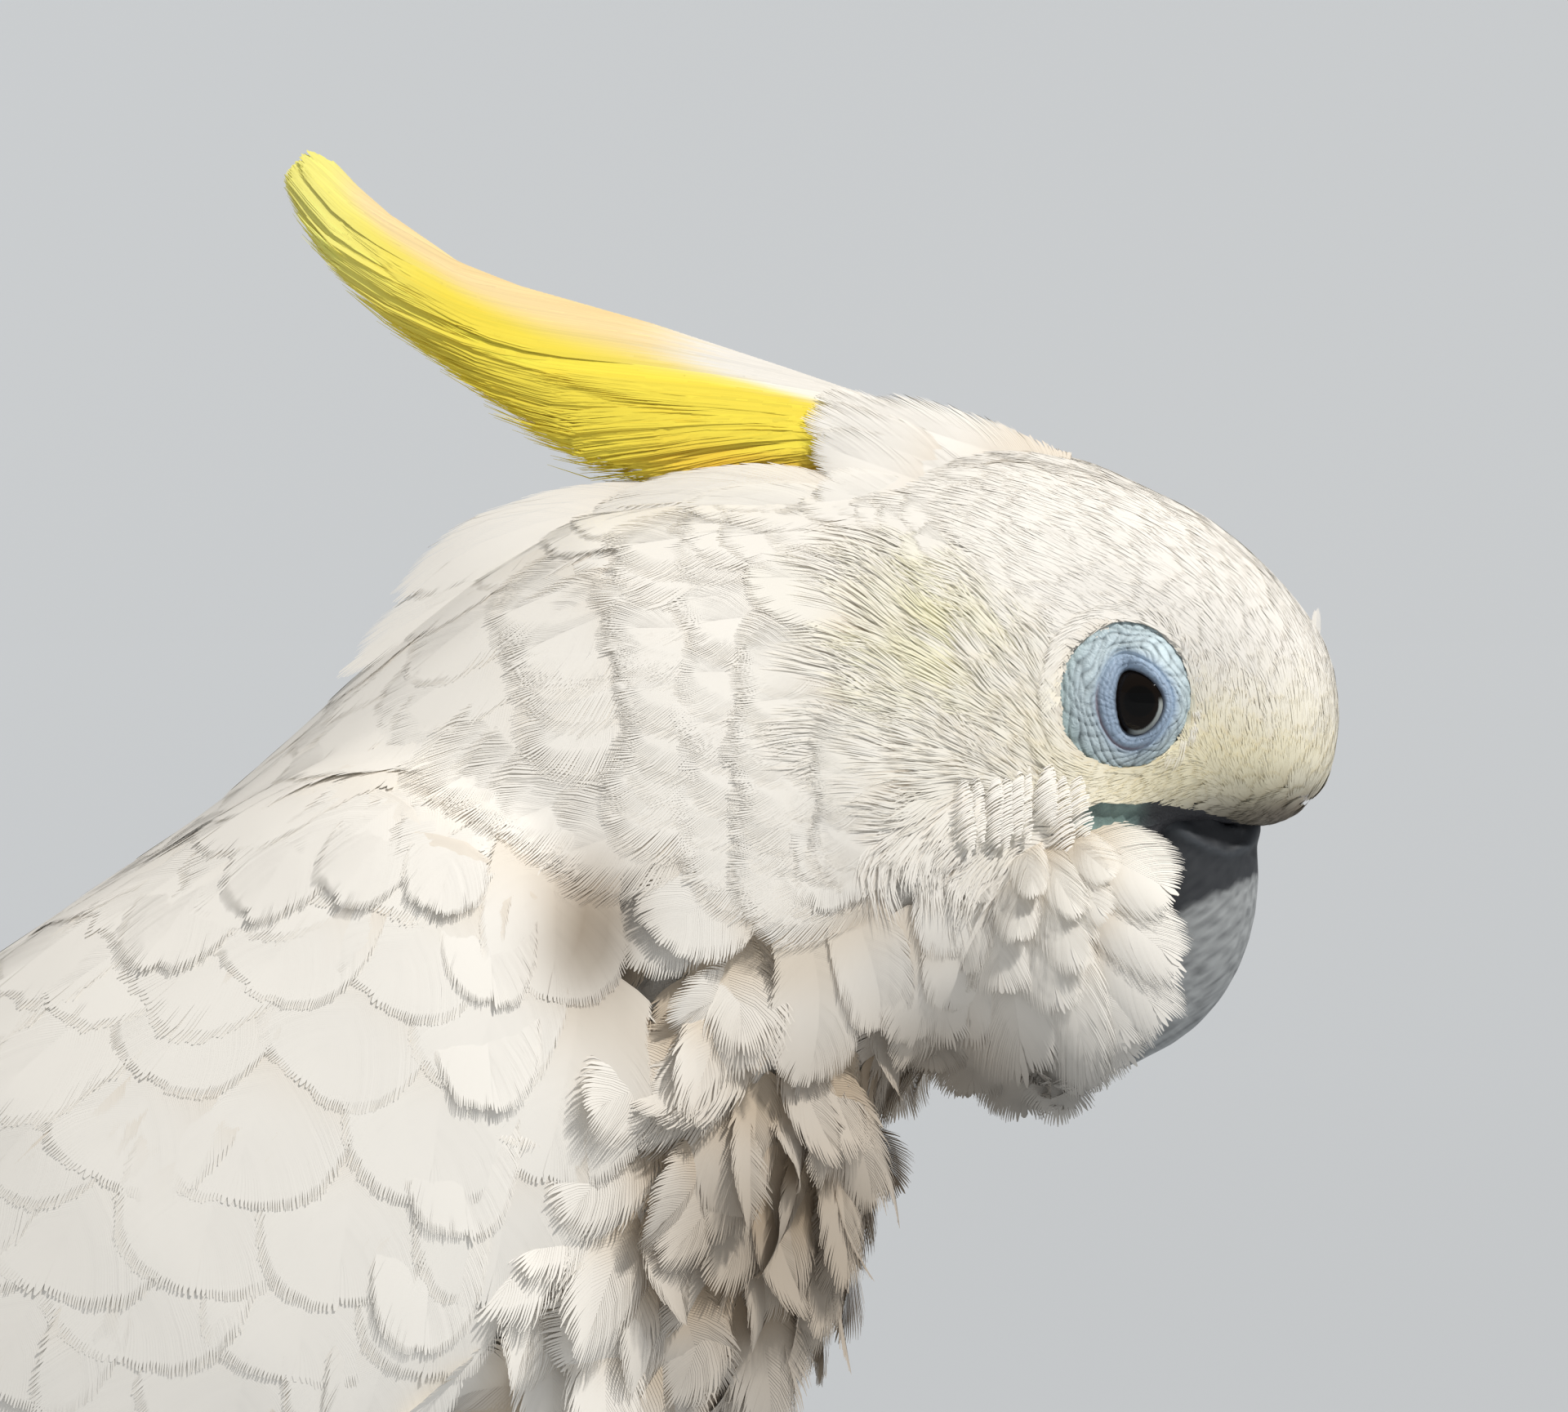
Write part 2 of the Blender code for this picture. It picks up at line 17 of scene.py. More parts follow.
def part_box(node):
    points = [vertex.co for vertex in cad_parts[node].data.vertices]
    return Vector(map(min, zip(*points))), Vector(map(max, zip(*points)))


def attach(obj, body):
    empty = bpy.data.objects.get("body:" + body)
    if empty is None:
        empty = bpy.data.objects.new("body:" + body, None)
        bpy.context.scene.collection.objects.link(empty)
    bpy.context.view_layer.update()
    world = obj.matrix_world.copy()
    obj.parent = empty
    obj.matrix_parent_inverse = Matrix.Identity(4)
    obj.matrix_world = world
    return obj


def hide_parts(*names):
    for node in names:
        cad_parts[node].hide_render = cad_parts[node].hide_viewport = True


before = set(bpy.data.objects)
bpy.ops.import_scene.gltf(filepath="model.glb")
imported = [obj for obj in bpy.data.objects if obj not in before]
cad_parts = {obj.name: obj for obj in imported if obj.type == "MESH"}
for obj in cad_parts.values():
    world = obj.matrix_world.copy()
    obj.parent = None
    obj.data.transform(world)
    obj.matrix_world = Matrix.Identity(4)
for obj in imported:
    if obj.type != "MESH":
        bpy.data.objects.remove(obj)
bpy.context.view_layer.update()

MM = 0.001
SEED = 11
SIDES = ((1, "left"), (-1, "right"))


# ---------------------------------------------------------------- the bird's own axes

eye_low, eye_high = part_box("eye_right")
EYE = (np.array(eye_low) + np.array(eye_high)) / 2 / MM
EYE_RADIUS = (eye_high.x - eye_low.x) / 2 / MM
EYE_OUT = -EYE[0]
EYE_TURN = math.radians(14.0)  # how far each eye looks forward
# the lids' opening, seen square on, lies this far ahead of the middle of the eye's ball
LIDS_AHEAD = EYE_RADIUS * math.sin(EYE_TURN) + 0.55


def place(points):
    """Bird axes (forward, left, up) in mm to the frame's axes in metres."""
    p = np.asarray(points, float)
    return np.stack([p[..., 1], EYE[1] - p[..., 0], EYE[2] + p[..., 2]], -1) * MM


def unplace(points):
    p = np.asarray(points, float) / MM
    return np.stack([EYE[1] - p[..., 1], p[..., 0], p[..., 2] - EYE[2]], -1)


def unplace_directions(v):
    return np.stack([-v[:, 1], v[:, 0], v[:, 2]], -1)


def unit(v):
    return v / np.maximum(np.linalg.norm(v, axis=-1, keepdims=True), 1e-9)


def flattened(vectors, normal):
    """Vectors laid along a surface that has these normals, as unit vectors."""
    return unit(vectors - normal * (vectors * normal).sum(-1, keepdims=True))


def smooth(t):
    t = np.clip(t, 0, 1)
    return t * t * (3 - 2 * t)


def mix(colour, other, share):
    """Colours drawn towards another by a share for each place."""
    return colour + (other - colour) * np.asarray(share)[..., None]


def relaxed(values, rounds=1, axis=0):
    """Rows of values, each but the first and the last drawn towards its neighbours."""
    rows = np.moveaxis(values, axis, 0).copy()
    for _ in range(rounds):
        rows[1:-1] = (rows[:-2] + 2 * rows[1:-1] + rows[2:]) / 4
    return np.moveaxis(rows, 0, axis)


def relaxed_normals(normals, rounds):
    for _ in range(rounds):
        normals = unit(relaxed(normals, axis=1))
    return normals


def ripple(seed, *coordinates):
    """Smooth noise from -1 to 1: a few sines whose directions and phases come from the seed."""
    rng = np.random.default_rng(seed)
    total = 0.0
    for _ in range(5):
        turn = rng.normal(0, 1, len(coordinates))
        total = total + np.sin(sum(k * c for k, c in zip(turn, coordinates)) * 2.2 + rng.uniform(0, 6.3))
    return total / 3.2


def spot(points, forward, up, across, high):
    """1 at a place of the side view, fading to nothing over an oval."""
    f, u = (points[:, 0] - forward) / across, (points[:, 2] - up) / high
    return np.exp(-(f * f + u * u))


def heading_vector(degrees):
    turn = np.radians(degrees)
    return np.stack([np.cos(turn), np.zeros_like(turn), np.sin(turn)], -1)


def beside_line(flat, line):
    """Side-view places against a bent line: distance, height above it, share along it, and nearest place."""
    best = np.full(len(flat), 1e9)
    above, where = np.zeros((2, len(flat)))
    centre = np.zeros((len(flat), 2))
    start = 0.0
    for a, b in zip(line, line[1:]):
        run = b - a
        size = np.linalg.norm(run)
        t = np.clip((flat - a) @ run / size**2, 0, 1)
        foot = a + t[:, None] * run
        gap = np.linalg.norm(flat - foot, axis=1)
        closer = gap < best
        best = np.where(closer, gap, best)
        above = np.where(closer, (flat - foot) @ np.array([-run[1], run[0]]) / size, above)
        where = np.where(closer, start + t * size, where)
        centre = np.where(closer[:, None], foot, centre)
        start += size
    return best, above, where / start, centre


# ---------------------------------------------------------------- meshes from arrays


def facing(points, faces, towards):
    """The same faces, each turned to look the way its points should."""
    corner = points[faces]
    look = np.cross(corner[:, 2] - corner[:, 0], corner[:, 3] - corner[:, 1])
    back = (look * towards[faces].sum(1)).sum(-1) < 0
    return np.where(back[:, None], faces[:, ::-1], faces)


def mesh_object(name, points, quads, material, uv=None, tint=None, replaces=(),
                soft=None, softness=0.0):
    """A smooth mesh from arrays: points in bird axes, faces of three or four, a uv and a tint for each point.

    soft holds the directions that the points of a feather's barbs face together, and softness
    how far each barb's own normals are turned that way.
    """
    faces = np.asarray(quads, np.int32)
    if soft is not None:
        faces = facing(points, faces, soft).astype(np.int32)
    mesh = bpy.data.meshes.new(name)
    mesh.vertices.add(len(points))
    mesh.vertices.foreach_set("co", place(points).astype(np.float32).ravel())
    mesh.loops.add(faces.size)
    mesh.loops.foreach_set("vertex_index", faces.ravel())
    mesh.polygons.add(len(faces))
    mesh.polygons.foreach_set("loop_start", np.arange(len(faces), dtype=np.int32) * faces.shape[1])
    mesh.polygons.foreach_set("use_smooth", np.ones(len(faces), bool))
    mesh.update(calc_edges=True)
    if uv is not None:
        layer = mesh.uv_layers.new(name="OFBake")
        layer.data.foreach_set("uv", np.asarray(uv, np.float32)[faces.ravel()].ravel())
    if tint is not None:
        colour = mesh.color_attributes.new("Tint", "FLOAT_COLOR", "POINT")
        rgba = np.ones((len(points), 4), np.float32)
        rgba[:, :3] = tint
        colour.data.foreach_set("color", rgba.ravel())
    if soft is not None:
        own = np.empty(len(points) * 3, np.float32)
        mesh.vertices.foreach_get("normal", own)
        aim = np.stack([soft[:, 1], -soft[:, 0], soft[:, 2]], -1)
        turned_own = unit(own.reshape(-1, 3) * (1 - softness) + unit(aim) * softness)
        mesh.normals_split_custom_set_from_vertices(turned_own)
    mesh.materials.append(material)
    made = bpy.data.objects.new(name, mesh)
    bpy.context.scene.collection.objects.link(made)
    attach(made, "root")
    if replaces:
        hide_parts(*replaces)


def strip_quads(points):
    """The faces of strips whose points are (..., along the strip, its two edges, 3)."""
    index = np.arange(points[..., 0].size).reshape(points.shape[:-1])
    corners = [index[..., :-1, 0], index[..., :-1, 1], index[..., 1:, 1], index[..., 1:, 0]]
    return np.stack(corners, -1).reshape(-1, 4)


def ring_quads(loops, spokes, side):
    """The faces between closed loops of points, facing out on either side of the bird."""
    index = np.arange(loops * spokes).reshape(loops, spokes)
    following = np.roll(index, -1, axis=1)
    quads = np.stack([index[:-1], index[1:], following[1:], following[:-1]], -1).reshape(-1, 4)
    return quads[:, ::-1] if side > 0 else quads


def joined(parts):
    """Pieces as one; each is its points, its faces, and then whatever else it has for each point."""
    start = np.cumsum([0] + [len(part[0]) for part in parts])
    points, _, *others = (np.concatenate(column) for column in zip(*parts))
    return points, np.concatenate([part[1] + k for part, k in zip(parts, start)]), *others


# ---------------------------------------------------------------- the outline of the plumage

FLESH = [
    "head", "neck", "trunk", "cheek_left", "cheek_right", "eye_ring_left", "eye_ring_right",
    "wing_left", "wing_right", "thigh_left", "thigh_right",
]
SEAL = 1.3  # how far the solids are swollen to close the gaps between them
VOXEL = 1.7


def swollen_flesh():
    """All the solids of flesh as one mesh, each a little larger than it is."""
    points, faces = [], []
    for name in FLESH:
        start = len(points)
        edit = bmesh.new()
        edit.from_mesh(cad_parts[name].data)
        bmesh.ops.remove_doubles(edit, verts=edit.verts, dist=1e-6)
        edit.normal_update()
        points += [v.co + v.normal * SEAL * MM for v in edit.verts]
        edit.verts.index_update()
        faces += [[v.index + start for v in f.verts] for f in edit.faces]
        edit.free()
    mesh = bpy.data.meshes.new("outline")
    mesh.from_pydata([tuple(p) for p in points], [], faces)
    return mesh


def plumage_outline():
    """One closed smooth surface over all the solids of flesh: where the tips of the feathers lie."""
    thing = bpy.data.objects.new("outline", swollen_flesh())
    bpy.context.scene.collection.objects.link(thing)
    remesh = thing.modifiers.new("remesh", "REMESH")
    remesh.mode = "VOXEL"
    remesh.voxel_size = VOXEL * MM
    relax = thing.modifiers.new("relax", "SMOOTH")
    relax.factor, relax.iterations = 0.5, 6
    graph = bpy.context.evaluated_depsgraph_get()
    made = bpy.data.meshes.new_from_object(thing.evaluated_get(graph), depsgraph=graph)
    bpy.data.objects.remove(thing)
    edit = bmesh.new()
    edit.from_mesh(made)
    keep_largest(edit)
    edit.verts.index_update()
    edit.normal_update()
    points = unplace([v.co for v in edit.verts])
    normals = unplace_directions(np.array([v.normal for v in edit.verts]))
    corners = [[v.index for v in face.verts] for face in edit.faces]
    quads = np.array([four if len(four) == 4 else [*four, four[0]] for four in corners])
    edit.free()
    return points - normals * SEAL, normals, quads


def keep_largest(edit):
    """Deletes all of a bmesh but the largest part that hangs together."""
    left, best = set(edit.verts), set()
    while left:
        found, todo = set(), [next(iter(left))]
        while todo:
            point = todo.pop()
            if point not in found:
                found.add(point)
                todo += [e.other_vert(point) for e in point.link_edges]
        left -= found
        best = max(best, found, key=len)
    bmesh.ops.delete(edit, geom=[v for v in edit.verts if v not in best], context="VERTS")


class Surface:
    """The outline and what the feathers ask of it: nearest points, normals, hits from beside and above."""

    def __init__(self, points, normals, quads):
        self.points, self.normals, self.quads = points, normals, quads
        self.tree = BVHTree.FromPolygons(points.tolist(), quads.tolist())

    def nearest(self, points):
        flat = np.asarray(points, float).reshape(-1, 3)
        found = np.empty_like(flat)
        normal = np.empty_like(flat)
        for i, p in enumerate(flat):
            where, _, face, _ = self.tree.find_nearest(p)
            corners = self.quads[face]
            gap = np.linalg.norm(self.points[corners] - np.array(where), axis=1) + 1e-3
            found[i] = where
            normal[i] = (self.normals[corners] / gap[:, None]).sum(0)
        return found.reshape(points.shape), unit(normal).reshape(points.shape)

    def from_side(self, flat, side):
        """Where lines straight in from one side meet the outline, at places (..., 2) of the side view."""
        places = flat.reshape(-1, 2)
        out = np.zeros((len(places), 3))
        for i, (f, u) in enumerate(places):
            hit = self.tree.ray_cast((f, side * 120.0, u), (0, -side, 0))[0]
            out[i] = hit if hit is not None else self.tree.find_nearest((f, side * 30.0, u))[0]
        return out.reshape(*flat.shape[:-1], 3)

    def height(self, forward, left, missing=None):
        """How high the outline is under a line straight down."""
        hit = self.tree.ray_cast((forward, left, 150.0), (0, 0, -1))[0]
        return hit[2] if hit is not None else missing


# ---------------------------------------------------------------- how the feathers lie

# The groom: place in the side view (forward, up), heading (0 forward, 90 up, 180 back, 270 down),
# feather length, half width, kind
GUIDES = (
    # face and crown
    (24, -10, 100, 8, 2.6, "cap"),
    (28, 1, 100, 10, 3.0, "cap"),
    (24, 12, 124, 11, 3.4, "cap"),
    (14, 22, 144, 13, 3.8, "cap"),
    (0, 31, 155, 15, 4.0, "cap"),
    (-15, 36, 161, 18, 4.4, "cap"),
    (-28, 38, 165, 20, 4.8, "cap"),
    (14, 12, 128, 10, 3.0, "cap"),
    (4, 15, 146, 11, 2.8, "cap"),
    (-6, 17, 156, 13, 3.0, "cap"),
    (-14, 24, 156, 16, 3.6, "cap"),
    (-24, 30, 160, 18, 4.0, "cap"),
    (-14, 15, 160, 14, 3.0, "cap"),
    (10, 0, 96, 6, 1.7, "fur"),
    (16, -8, 104, 5.5, 1.7, "fur"),
    (20, -17.6, 250, 3.5, 1.2, "fur"),
    (13, -11, 112, 5.5, 1.6, "fur"),
    (6, -13, 196, 5, 1.5, "fur"),
    (-3, -12, 190, 6, 1.6, "fur"),
    # ear coverts
    (-14, 4, 128, 13, 2.6, "silk"),
    (-15, -6, 140, 12, 2.6, "silk"),
    (-22, 12, 132, 16, 3.2, "silk"),
    (-27, 6, 142, 17, 3.2, "silk"),
    (-26, -4, 152, 16, 3.0, "silk"),
    (-34, 17, 140, 18, 3.6, "silk"),
    (-27, -18.5, 226, 12, 3.2, "silk"),
    (-38, 4, 158, 18, 3.6, "silk"),
    (-36, -9, 174, 16, 3.4, "silk"),
    # neck
    (-28, 24, 152, 20, 5.0, "contour"),
    (-34, 32, 160, 22, 6.0, "contour"),
    (-46, 28, 172, 26, 8.5, "contour"),
    (-50, 10, 178, 26, 9.0, "contour"),
    (-62, 24, 190, 28, 9.5, "contour"),
    (-76, 20, 203, 32, 10.5, "mantle"),
    (-92, 10, 212, 34, 10.5, "mantle"),
    (-56, -2, 184, 26, 9.5, "contour"),
    (-70, -4, 200, 30, 10.5, "contour"),
    (-88, -8, 228, 32, 10.5, "mantle"),
    (-49, -16, 188, 23, 8.5, "contour"),
    (-62, -20, 200, 27, 9.5, "contour"),
    (-78, -22, 226, 30, 10.0, "contour"),
    # throat and breast
    (-34, -32, 296, 22, 7.5, "contour"),
    (-47, -33, 290, 24, 8.5, "contour"),
    (-58, -38, 262, 24, 7.0, "ruff"),
    (-70, -42, 236, 24, 7.0, "ruff"),
    (-80, -48, 212, 24, 8.0, "ruff"),
    (-30, -50, 278, 20, 6.5, "ruff"),
    (-42, -56, 272, 22, 5.6, "ruff"),
    (-56, -60, 256, 24, 5.6, "ruff"),
    (-74, -64, 232, 26, 7.5, "ruff"),
    (-52, -84, 256, 24, 5.6, "ruff"),
    (-66, -88, 248, 26, 6.2, "ruff"),
    (-80, -90, 236, 27, 8.0, "ruff"),
    (-88, -108, 232, 28, 9.0, "ruff"),
    (-72, -118, 232, 30, 9.0, "ruff"),
    # belly and vent
    (-100, -132, 212, 32, 11.0, "contour"),
    (-130, -144, 198, 34, 12.0, "contour"),
    (-165, -150, 194, 36, 12.0, "contour"),
    (-205, -156, 202, 40, 12.0, "contour"),
    # mantle, back and rump
    (-104, 4, 216, 36, 10.5, "mantle"),
    (-112, -16, 222, 34, 10.5, "mantle"),
    (-132, -14, 218, 40, 11.0, "mantle"),
    (-160, -34, 220, 42, 12.0, "mantle"),
    (-190, -64, 222, 42, 13.0, "mantle"),
    (-220, -96, 220, 40, 13.0, "mantle"),
    (-238, -130, 212, 38, 12.0, "mantle"),
    # thighs
    (-150, -150, 262, 18, 6.0, "ruff"),
    (-141, -168, 264, 14, 4.5, "ruff"),
)
GUIDE_TABLE = np.array([row[:5] for row in GUIDES], float)
GUIDE_KINDS = np.array([row[5] for row in GUIDES])
REACH = 9.0  # how far a guide is felt, as a squared distance in the side view

# Coat that grows all over. kind: spacing as a share of the half width, depth of the coat,
# how far the tips stand off
GROWN = {
    "fur": (0.72, 0.45, 0.0),
    "cap": (0.54, 0.42, 0.0),
    "silk": (0.60, 1.4, 0.24),
    "contour": (0.86, 1.2, 0.03),
    "mantle": (0.84, 0.6, 0.02),
    "ruff": (0.84, 5.0, 1.3),
}
# Locks of loose strands. kind: strands, points along one, half width of a strand, raggedness, softness
LOCKS = {
    "fur": (24, 4, 0.25, 0.28, 0.94),
    "rim": (13, 5, 0.16, 0.6, 0.85),
    "cap": (34, 5, 0.32, 0.16, 0.96),
    "silk": (32, 5, 0.21, 0.8, 0.88),
}
# Feathers with vanes. kind: barbs on each side, points along a barb, share of a barb that is zipped to its
# neighbours, how ruffled, softness, how far each barb is tilted over the next, warmth of the root
VANES = {
    "contour": (66, 5, 0.84, 0.10, 0.94, 0.012, 0.55),
    "mantle": (66, 5, 0.92, 0.04, 0.96, 0.008, 0.15),
    "ruff": (46, 5, 0.70, 1.0, 0.62, 0.025, 0.85),
    "fan": (64, 6, 0.80, 0.25, 0.80, 0.025, 0.85),
    "band": (88, 4, 0.66, 0.08, 0.95, 0.014, 0.45),
    "wing": (60, 5, 0.95, 0.02, 0.97, 0.006, 0.4),
}


def felt(points, places, reach):
    """How strongly guides at places of the side view are felt at points, as shares of one."""
    gap = np.linalg.norm(points[:, None, [0, 2]] - places, axis=2)
    weight = 1 / (gap**2 + reach) ** 2
    return weight / weight.sum(1, keepdims=True)


def groom(points):
    """The lie, length, half width and kind of the coat at points of the outline."""
    share = felt(points, GUIDE_TABLE[:, :2], REACH)
    _, _, heading, length, half_width = GUIDE_TABLE.T
    lie = unit(share @ heading_vector(heading))
    return lie, share @ length, share @ half_width, GUIDE_KINDS[share.argmax(1)]


def lie_here(points):
    return groom(points)[0]


RING_CENTRE = np.array([-2.5, 1.2])
RING_RADII = np.array([9.4, 11.0])
SIDE_OF_HEAD = 8.0  # the eye rings and all around them lie further out than this


def ring_share(points):
    """How far out of the bare eye ring points are: 1 on its rim."""
    return np.linalg.norm((points[..., [0, 2]] - RING_CENTRE) / RING_RADII, axis=-1)


# the lower edge of the face's feathers over the bill and the bare corner of the mouth
FACE_EDGE = np.array([
    (-12.0, -18.0), (-8.6, -15.0), (-7.4, -13.8), (0.0, -14.0),
    (5.2, -14.6), (11.2, -16.2), (15.1, -17.2), (19.0, -19.0),
])


def face_edge(forward):
    return np.interp(forward, *FACE_EDGE.T)


def in_bill(points):
    f, u = points[:, 0], points[:, 2]
    return (f > -8.6) & (f < 19) & (u < face_edge(f))


def clear_of_bare(points, ragged):
    """Points of the coat moved off the eye ring and the bill, which they border with short free ends."""
    share = ring_share(points)[..., None]
    rim = 1.0 - 0.03 * ragged
    inside = (share < rim) & (np.abs(points[..., 1:2]) > SIDE_OF_HEAD)
    flat = points[..., [0, 2]]
    pushed = RING_CENTRE + (flat - RING_CENTRE) / np.maximum(share, 0.2) * rim
    deep = np.where(inside, np.clip((1 - share) / 0.12, 0, 1), 0)[..., 0]
    flat = np.where(inside, pushed, flat)
    edge = face_edge(flat[..., 0]) - 0.7 * ragged[..., 0]
    low = (flat[..., 0] > -8) & (flat[..., 0] < 18) & (flat[..., 1] < edge) & (flat[..., 1] > edge - 4)
    up = np.where(low, edge, flat[..., 1])
    out = points[..., 1] - np.sign(points[..., 1]) * 1.3 * deep
    return np.stack([flat[..., 0], out, up], -1)


# ---------------------------------------------------------------- feathers from barbs


def along(values, at):
    """values (n, K, 3) read at parameters at (n, ...) from 0 to 1."""
    count = values.shape[1]
    x = np.clip(at, 0, 1) * (count - 1)
    i = np.minimum(x.astype(int), count - 2)
    part = (x - i)[..., None]
    rows = np.arange(len(values)).reshape(-1, *[1] * (at.ndim - 1))
    return values[rows, i] * (1 - part) + values[rows, i + 1] * part


def on_sheet(sheet, t, v):
    """A grid of values (n, along, across, 3) for each feather, read at t from 0 to 1 and v from -1 to 1."""
    rows, columns = sheet.shape[1:3]
    x, y = t * (rows - 1), (v + 1) / 2 * (columns - 1)
    i, j = np.clip(x.astype(int), 0, rows - 2), np.clip(y.astype(int), 0, columns - 2)
    x, y = (x - i)[..., None], (y - j)[..., None]
    n = np.arange(len(sheet)).reshape(-1, *[1] * (t.ndim - 1))
    near = sheet[n, i, j] * (1 - y) + sheet[n, i, j + 1] * y
    return near * (1 - x) + (sheet[n, i + 1, j] * (1 - y) + sheet[n, i + 1, j + 1] * y) * x


def shaft_axes(shaft, normal):
    """Directions along each shaft, out of its vane and across it."""
    tangent = unit(np.gradient(shaft, axis=1))
    normal = flattened(normal, tangent)
    return tangent, normal, np.cross(tangent, normal)


def strips(low, high, t, share, facing_out):
    """What feathers() returns, from the two edges of every strip."""
    points = np.stack([low, high], -2)
    t, share = (np.repeat(values[..., None], 2, -1).ravel() for values in (t, share))
    facing_out = np.repeat(facing_out[..., None, :], 2, -2).reshape(-1, 3)
    return points.reshape(-1, 3), strip_quads(points), t, share, facing_out


WIDEST = 0.40  # where down its side a vane is widest, and how far along the shaft that is
WIDEST_ALONG = 0.60
BASE_WIDTH = 0.78  # as a share of the widest


def outline_point(q, base, squareness):
    """Down one side of a vane, q from 0 at its base to 1 at its tip: along the shaft, share of half width."""
    early = q < WIDEST
    corner = np.clip((q - WIDEST) / (1 - WIDEST), 0, 1) * math.pi / 2
    to_widest = base + (WIDEST_ALONG - base) * q / WIDEST
    t = np.where(early, to_widest, WIDEST_ALONG + (1 - WIDEST_ALONG) * np.sin(corner) ** squareness)
    v = np.where(early, BASE_WIDTH + (1 - BASE_WIDTH) * smooth(q / WIDEST), np.cos(corner) ** squareness)
    return t, v


def feathers(shaft, normal, half_width, rng, barbs, samples, zipped, ruffle, camber, shingle,
             squareness=0.80, base=0.12, fray=1.0, sheet=None):
    """Vanes made of barbs, from shafts and normals of the shape (n, K, 3).

    A barb is a strip that shares its edges with its neighbours as far as it is zipped to them, and
    then narrows to a free point. Returns points and faces, and for each point its place along and
    across its feather and the way it faces.
    """
    n = len(shaft)
    tangent, normal, across = shaft_axes(shaft, normal)
    half = half_width[:, None, None, None]
    fall = camber[:, None, None, None]

    q = np.linspace(0, 1, barbs)
    t_edge, v_edge = outline_point(q, base, squareness)
    t_root = (0.02 + 0.80 * q**1.2)[:, None]
    shape = (n, 2, barbs)
    clump = rng.normal(0, 1, shape)
    wide = np.cumsum(rng.normal(0, 1, shape), axis=2)
    wide -= wide.mean(axis=2, keepdims=True)
    t_end = t_edge + 0.007 * fray * clump + 0.010 * fray * np.clip(wide, -2.5, 2.5)
    v_end = v_edge * (1 + 0.026 * fray * rng.normal(0, 1, shape) + 0.05 * ruffle * np.sin(wide * 1.3))
    length = 1 + 0.014 * fray * rng.normal(0, 1, shape)

    u = 1 - (1 - np.linspace(0, 1, samples)) ** 1.5
    t = t_root + (t_end[..., None] - t_root) * u**1.3 * length[..., None]
    share = np.array([1.0, -1.0])[:, None, None] * v_end[..., None] * (1 - (1 - u) ** 1.35)
    v = share * half

    def read(values):
        return along(values, t.reshape(n, -1)).reshape(*t.shape, 3)

    last_step = np.linalg.norm(shaft[:, -1] - shaft[:, -2], axis=-1)[:, None, None, None]
    past_tip = np.clip(t - 1, 0, None) * last_step * (shaft.shape[1] - 1)
    wave = 0.35 * ruffle * np.sin(t * 7 + share * 2.2 + rng.uniform(0, 6.3, (n, 2, 1, 1))) * np.abs(v) / 6
    if sheet is None:
        a, m = unit(read(across)), unit(read(normal))
        middle = read(shaft) + read(tangent) * past_tip[..., None]
        curve = middle + a * v[..., None] + m * (wave - fall * v**2)[..., None]
        face = unit(m + a * (2 * fall * v)[..., None])  # the vane's own gentle fall to either side
    else:
        m = face = unit(on_sheet(sheet[1], np.clip(t, 0, 1), share))
        curve = on_sheet(sheet[0], t, share) + m * wave[..., None]

    before = np.concatenate([2 * curve[:, :, :1] - curve[:, :, 1:2], curve[:, :, :-1]], 2)
    after = np.concatenate([curve[:, :, 1:], 2 * curve[:, :, -1:] - curve[:, :, -2:-1]], 2)
    cuts = np.cumsum(rng.normal(0, 0.5, (n, 2, barbs, 1)), axis=2)
    uneven = 0.05 * rng.normal(0, 1, cuts.shape) + 0.05 * np.sin(cuts * 2)
    split = np.clip(zipped + uneven * fray, 0.05, 0.97)
    free = np.clip((u - split) / np.maximum(1.02 - split, 0.05), 0, 1)
    hold = (0.5 * (1 - 0.20 * smooth(free * 5)) * (1 - 0.86 * free**1.3))[..., None]
    tilt = m * shingle * np.abs(1 + 0.3 * rng.normal(0, 1, (n, 2, barbs, 1, 1)))
    low, high = curve + (before - curve) * hold - tilt, curve + (after - curve) * hold + tilt
    return strips(low, high, t, share, face)


